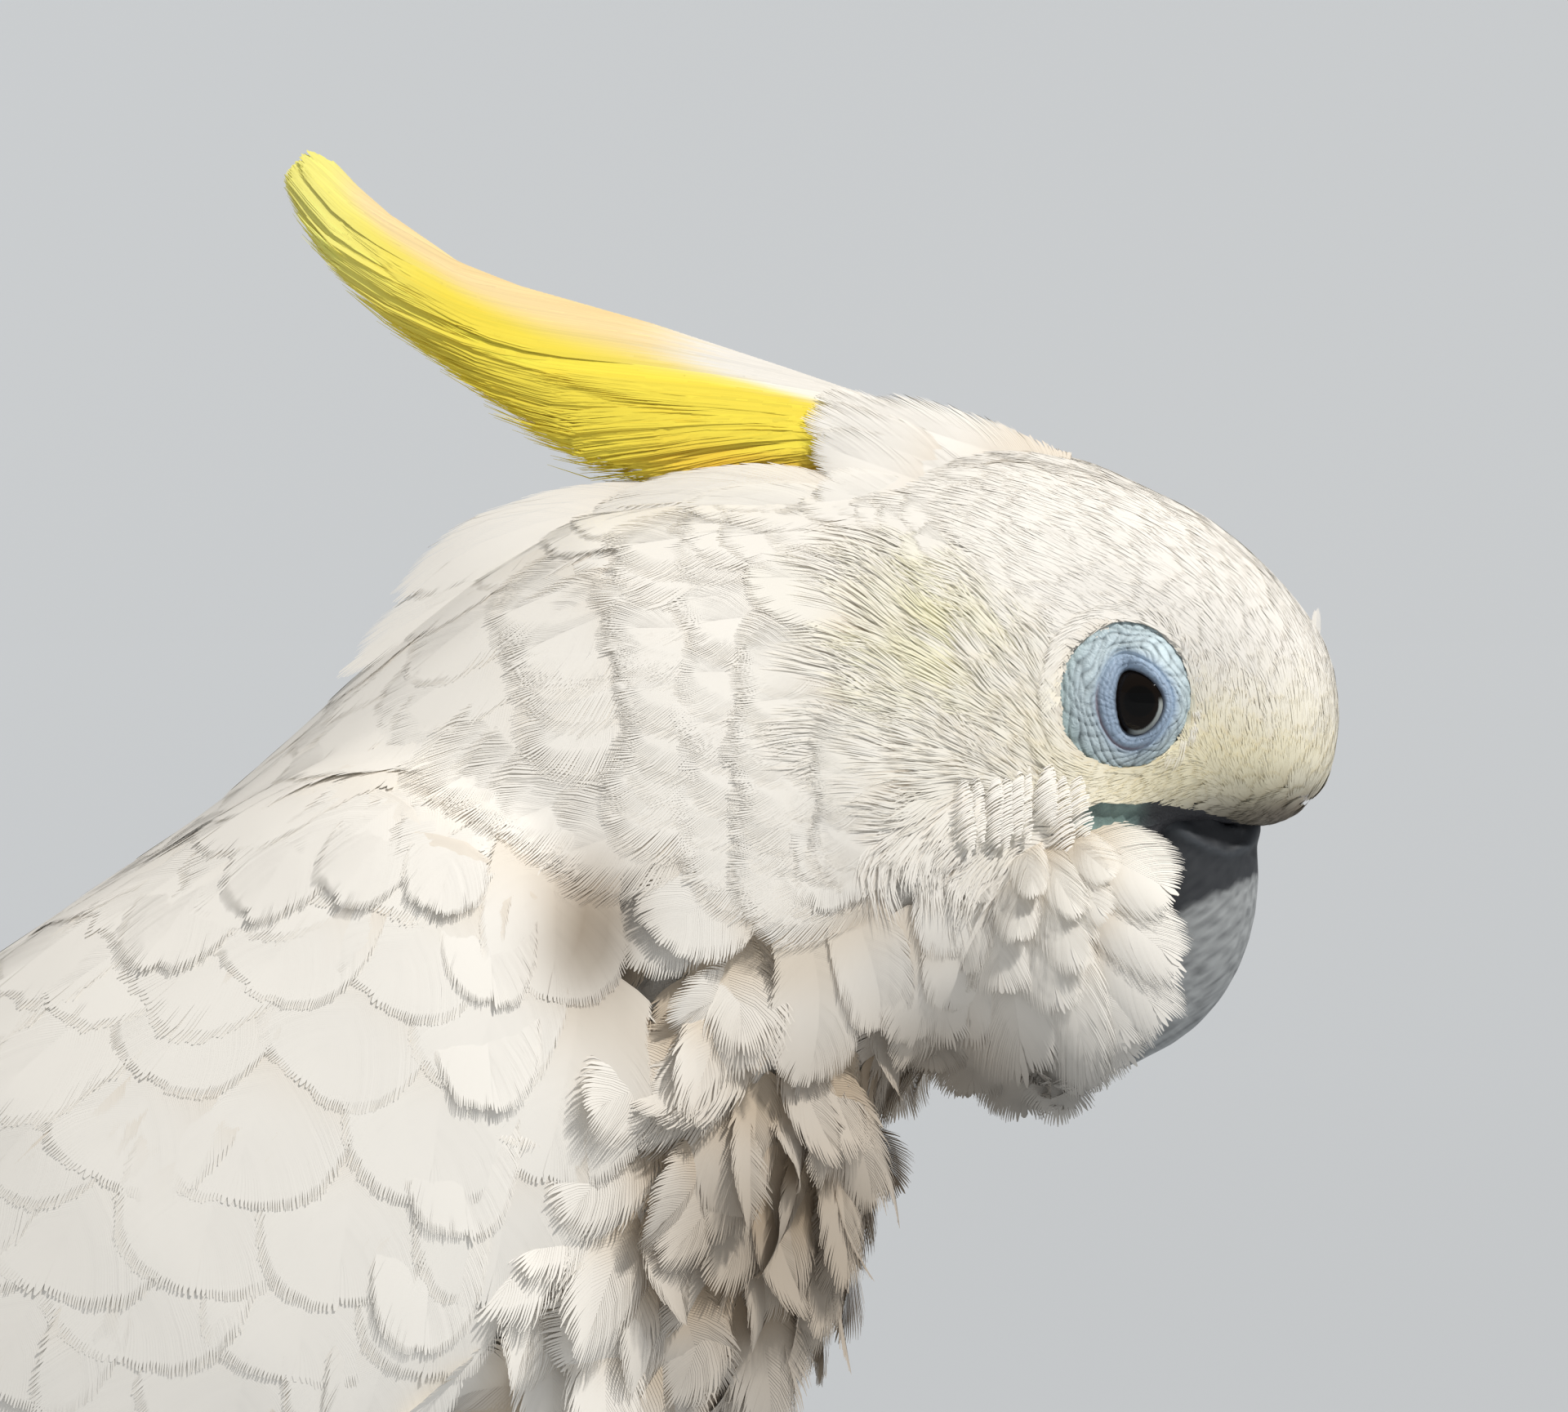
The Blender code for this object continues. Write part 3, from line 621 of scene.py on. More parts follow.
def strands(shaft, normal, half_width, rng, count, samples, width, ragged, camber):
    """Locks of loose barbs that fan out from each shaft and taper to points; returns what feathers() does."""
    n = len(shaft)
    tangent, normal, across = shaft_axes(shaft, normal)
    shape = (n, count, 1)
    aim = ((np.arange(count) + 0.5) / count * 2 - 1)[None, :, None] + rng.normal(0, 0.10, shape)
    t0 = rng.uniform(0.0, 0.42, shape) * (1 - 0.3 * np.abs(aim))
    t1 = 1 - 0.40 * aim**2 + rng.normal(0, 0.045, shape) * (0.6 + ragged)
    u = np.linspace(0, 1, samples)
    t = t0 + (t1 - t0) * u
    weave = rng.normal(0, 0.05, shape) * ragged * np.sin(u * 3 + rng.uniform(0, 6, shape))
    v = aim * (0.45 + 0.55 * u**1.2) + weave
    side = v * half_width[:, None, None]

    def read(values):
        return along(values, t.reshape(n, -1)).reshape(*t.shape, 3)

    a, m, ahead = unit(read(across)), unit(read(normal)), unit(read(tangent))
    past_tip = np.clip(t - 1, 0, None) * np.linalg.norm(shaft[:, -1] - shaft[:, 0], axis=-1)[:, None, None]
    layer = rng.uniform(-0.5, 0.5, shape) * 0.09 + rng.normal(0, 0.08, shape) * ragged * u**2
    high = layer - camber[:, None, None] * side**2
    middle = read(shaft) + a * side[..., None] + m * high[..., None] + ahead * past_tip[..., None]
    middle = clear_of_bare(middle, rng.uniform(-1, 1, (n, count, 1, 1)))
    run = unit(np.gradient(middle, axis=2) + ahead * 1e-3)
    roll = (rng.normal(0, 0.14, shape) * (0.2 + ragged))[..., None]
    edge = unit(np.cross(run, m)) * np.cos(roll) + m * np.sin(roll)
    taper = np.clip(1.02 - u**2.2, 0.05, 1) * np.clip(0.55 + 1.5 * u, 0, 1)
    thick = edge * (width * rng.uniform(0.7, 1.25, shape) * taper)[..., None]
    return strips(middle - thick, middle + thick, t, v, m)


# ---------------------------------------------------------------- unwrap of the skin's own shape

SPINE = np.array([
    (30, 0), (0, 0), (-30, -8), (-60, -20), (-98, -58), (-128, -84), (-190, -124), (-244, -153), (-345, -206),
], float)
SEAM_LEAN = 0.3  # the back and the belly part along lines that rise this much behind
TUFT = 0.003  # size of a feather's patch


def unwrap(points):
    """Length along the bird's spine and angle around it, each from 0 to 1."""
    flat = points[:, [0, 2]]
    best, _, where, centre = beside_line(flat, SPINE)
    over = flat[:, 1] + flat[:, 0] * SEAM_LEAN > centre[:, 1] + centre[:, 0] * SEAM_LEAN
    turn = np.arctan2(points[:, 1], np.where(over, best, -best)) / (2 * math.pi) + 0.5
    return np.stack([0.01 + 0.97 * where, 0.01 + 0.97 * turn], -1)


def tuft_uv(roots, t, v, per_feather):
    """A patch for each feather at its root's place on the unwrap."""
    home = np.repeat(unwrap(roots), per_feather, axis=0)
    return home + TUFT * np.stack([np.clip(t, 0, 1) - 0.5, np.clip(v, -1, 1) * 0.5], -1)


# ---------------------------------------------------------------- the colour of the coat

WHITE = np.array([0.92, 0.885, 0.825])
DOWN = np.array([0.76, 0.64, 0.49])  # the feathers' hidden roots: their own warmer, darker tone, and painted warm shade where they show between feathers
EAR_YELLOW = np.array([0.92, 0.885, 0.62])
CREAM = np.array([0.98, 0.90, 0.64])
SHADE_BROWN = np.array([0.57, 0.475, 0.37])  # painted warm shade: the brown that stands for shade in the folds, the throat and under the brow

# patches of the side view where warm brown shade is painted: how strong, forward, up, how far they reach
# forward and up
BROWN_SHADE_SPOTS = (
    (1.0, -80, -32, 7, 10),  # the fold between neck and wing
    (0.85, -38, -84, 20, 38), (0.60, -62, -80, 14, 26), (0.35, -28, -54, 16, 8),  # the throat
    (0.95, 22, -16.6, 8, 2.6), (0.35, 10, -17, 8, 1.8),  # the brow over the bill
)
# patches of the side view where darker shade is painted, in the same columns as the warm shade
DARK_SHADE_SPOTS = (
    (0.62, 19.5, -17.2, 10, 4.6), (0.30, 9, -16.6, 8, 2.4), (0.06, 12, 9, 12, 9),  # the brow
    (0.45, -13, -58, 22, 8), (0.10, -2, -42, 10, 9), (0.28, -50, -82, 26, 30),  # under the cheeks
    (0.42, -79, -34, 7, 9),  # the fold
)
DARKEST_PAINTED_SHADE = 0.64


def spots(points, table):
    return sum(strength * spot(points, *oval) for strength, *oval in table)


def brown_shade_share(points):
    """How much warm brown shade is painted on the coat."""
    return np.clip(spots(points, BROWN_SHADE_SPOTS), 0, 1)


def painted_shade_keep(points):
    """What the plumage keeps of its brightness where shade is painted on it."""
    return 1 - np.clip(spots(points, DARK_SHADE_SPOTS), 0, DARKEST_PAINTED_SHADE)


def plumage_tint(points, roots, per_feather, t, rng, warm):
    """The colour of every point of a patch of coat: white, warm at the roots, yellow over the ears, and
    painted shade in the folds, the throat and under the cheeks and the brow.
    """
    ear = np.clip(1.05 * spot(roots, -22, 4, 9, 10), 0, 1)
    ear = ear * np.clip(0.6 + 0.4 * ripple(5, roots[:, 0] / 4, roots[:, 2] / 4), 0, 1)
    lore = np.clip(0.88 * spot(roots, 7, -10.0, 17, 7.2) + 0.5 * spot(roots, 20, -14, 9, 5), 0, 1)
    body = mix(mix(WHITE, EAR_YELLOW, ear), CREAM, lore)
    body = body * (1 + rng.normal(0, 0.010, (len(roots), 1)))
    # painted shade: warm brown where shade falls in the folds, the throat and under the brow
    body = mix(np.repeat(body, per_feather, axis=0), SHADE_BROWN, brown_shade_share(points))
    # painted shade: darker under the brow and the cheeks, down the throat and in the fold
    body = body * painted_shade_keep(points)[:, None]
    # partly the roots' own tone, partly painted warm shade that stands for light through the feathers over
    # them
    shade = 1 - smooth((t - 0.22) / 0.42)
    return body + (DOWN * body / WHITE - body) * shade[:, None] * warm


# ---------------------------------------------------------------- placing the coat

PIECE_LIMIT = 185000  # triangles
CROWDING = 7.0  # places tried for each that is likely to be kept
STEPS = 8  # from root to tip of a shaft
NECK_FOLD = (-79, -34, 8, 12)  # between neck and wing, as a spot of the side view


def scatter(surface, spacing, allowed, rng):
    """Random points of the outline, none nearer to another than its own spacing."""
    corners = surface.points[surface.quads]
    area = np.linalg.norm(np.cross(corners[:, 2] - corners[:, 0], corners[:, 3] - corners[:, 1]), axis=1) / 2
    middle = corners.mean(axis=1)
    wanted = np.where(allowed(middle), area / spacing(middle) ** 2, 0)
    count = int(wanted.sum() * CROWDING)
    if not count:
        return np.zeros((0, 3))
    face = rng.choice(len(corners), count, p=wanted / wanted.sum())
    a, b = rng.random((2, count, 1))
    near = corners[face, 0] * (1 - a) + corners[face, 1] * a
    far = corners[face, 3] * (1 - a) + corners[face, 2] * a
    tried = near * (1 - b) + far * b
    tried = tried[allowed(tried)]
    kept, kept_room, size = np.empty_like(tried), np.empty(len(tried)), 0
    for point, own in zip(tried, spacing(tried)):
        gap = np.linalg.norm(kept[:size] - point, axis=1)
        if size == 0 or (gap > 0.5 * (kept_room[:size] + own)).all():
            kept[size], kept_room[size] = point, own
            size += 1
    return kept[:size]


def turned(vectors, axis, angle):
    """Vectors turned about unit axes by an angle for each."""
    c, s = np.cos(angle)[..., None], np.sin(angle)[..., None]
    held = axis * (vectors * axis).sum(-1, keepdims=True)  # the share that the turn leaves alone
    return vectors * c + np.cross(axis, vectors) * s + held * (1 - c)


def twisted(shaft, normal, angle):
    """Normals turned about their shafts, more and more towards the tips."""
    tangent = unit(np.gradient(shaft, axis=1))
    t = np.linspace(0, 1, shaft.shape[1])[None]
    return turned(normal, tangent, angle[:, None] * t**1.5)


def follow(surface, roots, lengths, depth, lift, swirl, rng, lie_of=lie_here, bend=0.0, curl=0.0, sink=0.0):
    """Shafts that leave the skin at their roots and run with the lie of the coat up to the outline."""
    at, normal = surface.nearest(roots)
    count = len(roots)
    stray = rng.normal(0, 1, count) * swirl
    path, normals = [at], [normal]
    for k in range(STEPS):
        ahead = turned(flattened(lie_of(at), normal), normal, stray + bend * (k / STEPS - 0.4))
        at, normal = surface.nearest(at + ahead * (lengths / STEPS)[:, None])
        path.append(at)
        normals.append(normal)
    path = relaxed(np.stack(path, 1), 2, axis=1)
    normals = relaxed_normals(np.stack(normals, 1), 2)
    t = np.linspace(0, 1, STEPS + 1)[None]
    rest = rng.normal(0, 0.07, (count, 1)) * depth
    curl, sink = ((value + np.zeros(count))[:, None] for value in (curl, sink))
    height = -depth * (1 - t) ** 1.35 + lift[:, None] * t**2.2 + rest * np.sin(t * 2.2)
    height = height + curl * np.clip(t - 0.45, 0, 1) ** 2 - sink * smooth(t * 2)
    return path + normals * height[..., None], normals


def wrap(surface, shaft, normal, half_width):
    """How sharply the body falls away on either side of each shaft, per mm squared."""
    k = int(shaft.shape[1] * 0.6)
    tangent = unit(shaft[:, k + 1] - shaft[:, k - 1])
    across = unit(np.cross(tangent, normal[:, k]))
    base, up = surface.nearest(shaft[:, k])
    reach = np.maximum(half_width * 0.9, 3.0)
    drop = 0
    for side, _ in SIDES:
        beside, _ = surface.nearest(base + across * (side * reach)[:, None])
        drop = drop - ((beside - base) * up).sum(-1) / 2
    return np.clip(drop / reach**2, -0.004, 0.04)


def drape(surface, shaft, normal, half_width, roll):
    """Vanes bent over the outline, each as a grid of points along and across it, and the way they face.

    Like tiles, each lies with its lower side over its neighbour and its upper side under the next.
    """
    tangent = unit(np.gradient(shaft, axis=1))
    across = unit(np.cross(tangent, normal))
    base, up = surface.nearest(shaft)
    high = ((shaft - base) * up).sum(-1)
    v = np.linspace(-1, 1, 5)
    places = shaft[:, :, None] + across[:, :, None] * (v * half_width[:, None])[:, None, :, None]
    base, up = surface.nearest(places)
    below = -np.sign(across[:, 4] @ np.array([0.35, 0, 1]) + 1e-6)
    tiled = (roll * below * half_width / 8)[:, None, None] * v
    return base + up * (high[:, :, None] + tiled)[..., None], up


def lay(name, roots, make, per_feather, rng, softness, warm, replaces=()):
    """Feathers as one mesh, or as several where there would be too many triangles in one.

    make(part) returns what feathers() does for a part of them.
    """
    step = max(1, PIECE_LIMIT // per_feather)
    for number, start in enumerate(range(0, len(roots), step)):
        part = slice(start, start + step)
        points, quads, t, v, soft = make(part)
        per = len(points) // len(roots[part])
        tint = plumage_tint(points, roots[part], per, t, rng, warm)
        uv = tuft_uv(roots[part], t, v, per)
        label = name if len(roots) <= step else f"{name}_{number + 1}"
        stands_for = replaces if number == 0 else ()
        mesh_object(label, points, quads, feather_paint, uv, tint, stands_for, soft, softness)


def lay_vanes(name, shaft, normal, half_width, kind, rng, roots=None, camber=None, barbs=None, draped=False,
              sheet=None, replaces=(), **shape):
    """Feathers with vanes, bowed by their camber, draped over the outline or laid on sheets of their own."""
    own_barbs, samples, zipped, ruffle, softness, shingle, warm = VANES[kind]
    barbs = barbs or own_barbs
    roots = shaft[:, 0] if roots is None else roots
    if draped:
        camber, sheet = 0.0, drape(outline, shaft, normal, half_width, 0.22 if kind == "contour" else 0.08)
    if camber is None:
        camber = wrap(outline, shaft, normal, half_width) + 0.003
    camber = camber + np.zeros(len(roots))

    def make(part):
        over = None if sheet is None else [grid[part] for grid in sheet]
        return feathers(shaft[part], normal[part], half_width[part], rng, barbs, samples, zipped, ruffle,
                        camber[part], shingle, sheet=over, **shape)

    lay(name, roots, make, barbs * 2 * (samples - 1) * 2, rng, softness, warm, replaces)


def lay_locks(name, roots, shaft, normal, half_width, kind, rng):
    """Locks of loose strands, bent with the body under them."""
    count, samples, width, ragged, softness = LOCKS[kind]
    camber = wrap(outline, shaft, normal, half_width) + (0.012 if kind == "silk" else 0.003)

    def make(part):
        return strands(shaft[part], normal[part], half_width[part], rng, count, samples, width, ragged,
                       camber[part])

    lay(name, roots, make, count * (samples - 1) * 2, rng, softness, 0.25)


def rooted(allowed, kind, share, rng):
    """Roots for feathers of one kind, set back so that the middles of the feathers are spread evenly."""
    def spacing(points):
        return groom(points)[2] * share

    def here(points):
        lie, _, _, own = groom(points)
        own = own == kind
        if kind == "ruff":  # over the bases of the smooth feathers that follow
            own = own | (groom(points - lie * 10)[3] == kind)
        return allowed(points) & own

    roots = scatter(outline, spacing, here, rng)
    lie, length, half_width, _ = groom(roots)
    length = length * (1 + 0.10 * rng.normal(0, 1, len(roots)))
    half_width = half_width * (1 + 0.08 * rng.normal(0, 1, len(roots)))
    _, normal = outline.nearest(roots)
    return roots - flattened(lie, normal) * (length * 0.45)[:, None], length, half_width


def grow_locks(name, kind, allowed, rng):
    """One kind of locks wherever the groom has it and it is allowed."""
    share, depth, lift = GROWN[kind]
    ragged = LOCKS[kind][3]
    roots, length, half_width = rooted(allowed, kind, share, rng)
    tips = lift * (1 + 0.4 * ragged * rng.normal(0, 1, len(roots)))
    bend = rng.normal(0, 0.25, len(roots)) * ragged
    shaft, normal = follow(outline, roots, length, depth, tips, 0.06 + 0.10 * ragged, rng, bend=bend)
    lay_locks(name, roots, shaft, normal, half_width, kind, rng)


def in_bands(points):
    """1 on the sides of the neck, where broad feathers set one by one cover the rest."""
    f, u = points[:, 0], points[:, 2]
    return smooth((f + 98) / 8) * smooth((-46 - f) / 6) * smooth((u + 30) / 6) * smooth((30 - u) / 6)


def grow_vanes(name, kind, allowed, rng, barbs=None, **shape):
    """One kind of feathers with vanes wherever the groom has it and it is allowed."""
    share, depth, lift = GROWN[kind]
    ruffle = VANES[kind][3]
    roots, length, half_width = rooted(allowed, kind, share, rng)
    count = len(roots)
    tips = lift * (1 + 1.6 * ruffle * rng.normal(0, 1, count))
    bend = rng.normal(0, 0.5, count) * ruffle
    curl = rng.normal(-1.0, 5.0, count) * ruffle**2
    at = roots + lie_here(roots) * (length * 0.6)[:, None]
    sink = 6.5 * smooth(1.5 * spot(at, *NECK_FOLD)) + 0.7 * in_bands(at)
    if kind == "ruff":
        # they part into clumps with hollows between, deepest under the cheeks
        sink = sink + 3.2 * smooth(0.5 + 0.8 * ripple(43, at[:, 0] / 7.5, at[:, 2] / 9))
        sink = sink + 2.5 * spot(at, -36, -54, 13, 7)
    swirl = 0.07 + 0.25 * ruffle
    shaft, normal = follow(outline, roots, length, depth, tips, swirl, rng, bend=bend, curl=curl, sink=sink)
    normal = twisted(shaft, normal, np.clip(rng.normal(0, 0.65, count), -1.1, 1.1) * ruffle**1.5)
    lay_vanes(name, shaft, normal, half_width, kind, rng, roots=roots, barbs=barbs,
              draped=kind != "ruff", **shape)


# ---------------------------------------------------------------- materials


def material(name, colour, roughness, tint=False, specular=0.5):
    made = bpy.data.materials.new(name)
    made.use_nodes = True
    nodes, links = made.node_tree.nodes, made.node_tree.links
    shader = nodes["Principled BSDF"]
    shader.inputs["Base Color"].default_value = (*colour, 1)
    shader.inputs["Roughness"].default_value = roughness
    shader.inputs["Specular IOR Level"].default_value = specular
    if tint:
        source = nodes.new("ShaderNodeVertexColor")
        source.layer_name = "Tint"
        links.new(source.outputs["Color"], shader.inputs["Base Color"])
    return made


def bumpy(made, texture, output, strength, **settings):
    """Gives a material a bump from a texture laid through the object."""
    nodes, links = made.node_tree.nodes, made.node_tree.links
    source = nodes.new("ShaderNodeTexCoord")
    bump = nodes.new("ShaderNodeBump")
    bump.inputs["Strength"].default_value = strength
    bump.inputs["Distance"].default_value = 0.0006
    pattern = nodes.new(texture)
    for key, value in settings.items():
        pattern.inputs[key].default_value = value
    links.new(source.outputs["Object"], pattern.inputs["Vector"])
    links.new(pattern.outputs[output], bump.inputs["Height"])
    links.new(bump.outputs["Normal"], nodes["Principled BSDF"].inputs["Normal"])


feather_paint = material("white feather", (0.90, 0.87, 0.825), 0.62, tint=True, specular=0.2)
crest_paint = material("crest feather", (0.95, 0.79, 0.10), 0.60, tint=True, specular=0.2)
skin_paint = material("skin", (0.75, 0.66, 0.60), 0.50, tint=True, specular=0.4)
eye_paint = material("eye", (0.012, 0.007, 0.005), 0.06, tint=True, specular=0.16)
bill_paint = material("bill", (0.12, 0.13, 0.14), 0.55, tint=True, specular=0.4)
scale_paint = material("leg scales", (0.13, 0.13, 0.14), 0.6)
claw_paint = material("claw", (0.03, 0.03, 0.033), 0.35)
bumpy(scale_paint, "ShaderNodeTexVoronoi", "Distance", 0.6, Scale=700)
bumpy(skin_paint, "ShaderNodeTexNoise", "Fac", 0.5, Scale=900, Detail=3, Distortion=1.2)


# ---------------------------------------------------------------- wings' places

rng = np.random.default_rng(SEED)
outline = Surface(*plumage_outline())

WING_START = np.array([-60.0, -18.5])
WING_HEADING = math.radians(214.1)
STATION_HALF = 6.0  # half the stretch of wing that its width is measured over


class Wings:
    """The folded wings' solids: what lies on them, and a grid of places over each."""

    def __init__(self):
        self.along = np.array([math.cos(WING_HEADING), math.sin(WING_HEADING)])
        self.upward = np.array([self.along[1], -self.along[0]])
        points, faces = [], []
        for _, word in SIDES:
            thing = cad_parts[f"wing_{word}"]
            start = len(points)
            own = unplace([thing.matrix_world @ v.co for v in thing.data.vertices])
            points += own.tolist()
            faces += [[i + start for i in p.vertices] for p in thing.data.polygons]
        self.tree = BVHTree.FromPolygons(points, faces)
        # how wide a wing is down its length, from points along the edges of the last one read
        ends = np.array([e.vertices[:] for e in thing.data.edges])
        steps = np.linspace(0, 1, 12)[:, None, None]
        w, v = self.split((own[ends[:, 0]] * (1 - steps) + own[ends[:, 1]] * steps).reshape(-1, 3))
        self.stations = np.linspace(w.min() + 4, w.max() - 4, 40)
        near = [v[np.abs(w - s) < STATION_HALF] for s in self.stations]
        self.low = np.array([part.min() for part in near])
        self.high = np.array([part.max() for part in near])

    def split(self, points):
        """Distance down the wing and height across it."""
        flat = np.asarray(points)[:, [0, 2]] - WING_START
        return flat @ self.along, flat @ self.upward

    def at(self, down, share):
        """Side-view places from distance down the wing and share of its width from its lower edge."""
        low, high = np.interp(down, self.stations, self.low), np.interp(down, self.stations, self.high)
        v = low + (high - low) * share
        return WING_START + np.multiply.outer(down, self.along) + np.multiply.outer(v, self.upward)

    def near(self, points, within):
        return np.array([self.tree.find_nearest(p, within)[0] is not None for p in points.tolist()], bool)


wings = Wings()


def on_wing(points):
    """The folded wings, behind their leading edge and below the mantle that overlaps them."""
    f, u = points[:, 0], points[:, 2]
    mantle_edge = 0.72 * (f + 104) - 17
    inside = (f < -78) & (u < mantle_edge) & (np.abs(points[:, 1]) > 4)
    found = np.zeros(len(points), bool)
    found[inside] = wings.near(points[inside], 1.5)
    return found


# ---------------------------------------------------------------- skin and eye rings


def eye_axes(side):
    """Outward, forward and up directions of one eye."""
    out = np.array([math.sin(EYE_TURN), side * math.cos(EYE_TURN), 0])
    ahead = np.array([math.cos(EYE_TURN), -side * math.sin(EYE_TURN), 0])
    return out, ahead, np.array([0, 0, 1.0])


RING_SPOKES, RING_LOOPS = 220, 60
# the opening of the lids, around it from ahead: a drop with its point at the top and a nearly flat back
LID = np.array([
    (3.42, -0.2), (3.28, 0.9), (2.75, 2.0), (2.05, 2.95), (1.15, 3.85), (0.20, 4.45), (-0.75, 4.72),
    (-1.40, 4.45), (-1.95, 3.95), (-2.42, 3.1), (-2.75, 2.0), (-2.95, 0.8), (-2.95, -0.3), (-2.80, -1.4),
    (-2.45, -2.6), (-1.90, -3.7), (-1.05, -4.45), (-0.10, -4.72), (0.85, -4.55), (1.75, -3.9), (2.50, -3.0),
    (3.05, -1.9), (3.35, -1.0),
])
RING_PALE = np.array([0.57, 0.68, 0.73])
RING_BLUE = np.array([0.36, 0.47, 0.62])
RING_TEAL = np.array([0.37, 0.49, 0.48])
LID_RED = np.array([0.16, 0.07, 0.08])
LID_DARK = np.array([0.035, 0.035, 0.05])


def lid_edge(angle):
    turn = np.unwrap(np.arctan2(LID[:, 1], LID[:, 0]))
    far = np.linalg.norm(LID, axis=1)
    turn = np.concatenate([turn - 2 * math.pi, turn, turn + 2 * math.pi])
    size = np.interp(angle, turn, np.tile(far, 3))
    return np.stack([np.cos(angle), np.sin(angle)], -1) * size[:, None]


def ridges(phase):
    """1 along lines where the phase is a whole number of half turns, falling away between them."""
    return 1 - np.abs(np.sin(phase))


def ring_creases(a, far, from_edge, lid_wide, share):
    """The bare ring's wrinkles: long ones round the eye, crossed by short slanting ones in a net."""
    x, y = np.cos(a), np.sin(a)
    warp = ripple(21, x * 1.6, y * 1.6, far * 0.25)
    rounds = ridges(math.pi * (from_edge * 0.92 + 0.9 * warp + 0.25 * ripple(4, a * 2.5, far * 0.8)))
    slants = ridges(a * 10.5 + far * 1.1 + 2.2 * ripple(8, a * 1.2, far * 0.35))
    outer = smooth((from_edge - lid_wide) / 0.8) * (1 - smooth((share - 0.84) / 0.16))
    lid_rounds = ridges(from_edge * 3.6 + 1.5 * ripple(2, x * 2, y * 2))
    lid_slants = ridges(a * 17 + from_edge * 1.5 + ripple(9, x * 3, y * 3) * 2)
    on_lid = smooth(from_edge / 0.5) * (1 - smooth((from_edge - lid_wide + 0.3) / 0.6))
    on_ring = -(0.30 * rounds**3 + 0.24 * slants**3) * outer
    return on_ring - (0.16 * lid_rounds**2 + 0.14 * lid_slants**3) * on_lid


def ring_tint(a, flat, from_edge, lid_wide, share, crease):
    """Dark at the lids' edge, blue on the lid, paler round it, teal in the wrinkled part near the feathers,
    and painted shade darkening each wrinkle.
    """
    behind = smooth((-flat[..., 0] + 3) / 7)
    tint = mix(RING_BLUE, RING_PALE, smooth((from_edge - lid_wide * 0.70) / 2.4))
    tint = tint * ((1 + 0.22 * smooth(flat[..., 1] / 9)) * (1 - 0.16 * behind))[..., None]
    tint = mix(tint, RING_TEAL, smooth((share - 0.55) / 0.45) * (0.40 + 0.5 * behind))
    # painted shade: each wrinkle is darkened by its depth
    tint = tint * ((1 + 1.5 * crease) * (1 + 0.06 * ripple(31, flat[..., 0], flat[..., 1])))[..., None]
    red_line = np.exp(-(((from_edge - lid_wide) / 0.22) ** 2)) * smooth(np.cos(a - 3.9) * 1.4 - 0.2)
    tint = mix(tint, LID_RED, 0.7 * red_line)
    return mix(tint, LID_DARK, 0.85 * np.exp(-((np.maximum(from_edge, 0) / 0.30) ** 2)))


def eye_ring(side):
    """The bare ring as loops from the edge of the lids out to under the feathers."""
    out, ahead, up = eye_axes(side)
    centre = np.array([0, side * EYE_OUT, 0])
    angle = np.linspace(0, 2 * math.pi, RING_SPOKES, endpoint=False)
    inner = lid_edge(angle) - np.array([LIDS_AHEAD, 0])
    rim = np.stack([np.cos(angle), np.sin(angle)], -1) * (RING_RADII + 1.5) + RING_CENTRE - np.array([1.1, 0])
    on_rim, _ = outline.nearest(centre + ahead * rim[:, :1] + up * rim[:, 1:] + out * 5.0)
    rim_high = (on_rim - centre) @ out - 1.2
    share = np.linspace(0, 1, RING_LOOPS)[:, None] ** 1.1
    flat = inner + (rim - inner) * share[..., None]
    middle = inner.mean(axis=0)
    far = np.linalg.norm(flat - middle, axis=-1)
    from_edge = far - np.linalg.norm(inner - middle, axis=-1)
    ball = np.sqrt(np.maximum(EYE_RADIUS**2 - (inner**2).sum(-1), 1.0))
    a = np.repeat(angle[None], RING_LOOPS, 0)
    lid_wide = 2.2 + 0.75 * np.cos(a - 2.9)  # the raised inner lid is broader behind and above
    lid_roll = 0.50 * np.sin(np.clip(from_edge / lid_wide, 0, 1) * math.pi) ** 0.7
    groove = -0.42 * np.exp(-(((from_edge - lid_wide) / 0.30) ** 2))
    s = smooth(share)
    high = (ball + 0.12 + lid_roll) * (1 - s) + rim_high * s + groove * (1 - 0.6 * s)
    high = high + 0.7 * np.sin(share * math.pi)
    crease = ring_creases(a, far, from_edge, lid_wide, share)
    points = centre + ahead * flat[..., :1] + up * flat[..., 1:] + out * (high + crease)[..., None]
    inside = middle + (inner - middle) * 0.88
    tuck = centre + ahead * inside[:, :1] + up * inside[:, 1:] + out * (ball - 0.7)[:, None]
    points = np.concatenate([tuck[None], points], 0)
    tint = ring_tint(a, flat, from_edge, lid_wide, share, crease)
    tint = np.concatenate([np.full((1, RING_SPOKES, 3), 0.03), tint], 0)
    quads = ring_quads(RING_LOOPS + 1, RING_SPOKES, side)
    return points.reshape(-1, 3), quads, np.clip(tint, 0, 1).reshape(-1, 3)


FEATHERS_ONLY_BEHIND = -224.0  # behind the body
WING_SKIN_END = 172.0  # distance down the wing, past which it is too thin for skin
# painted shade: the teal of the bare mouth corner is darkened for the brow's shade
MOUTH_SKIN = np.array([0.17, 0.25, 0.235])
CERE_SKIN = np.array([0.040, 0.040, 0.045])


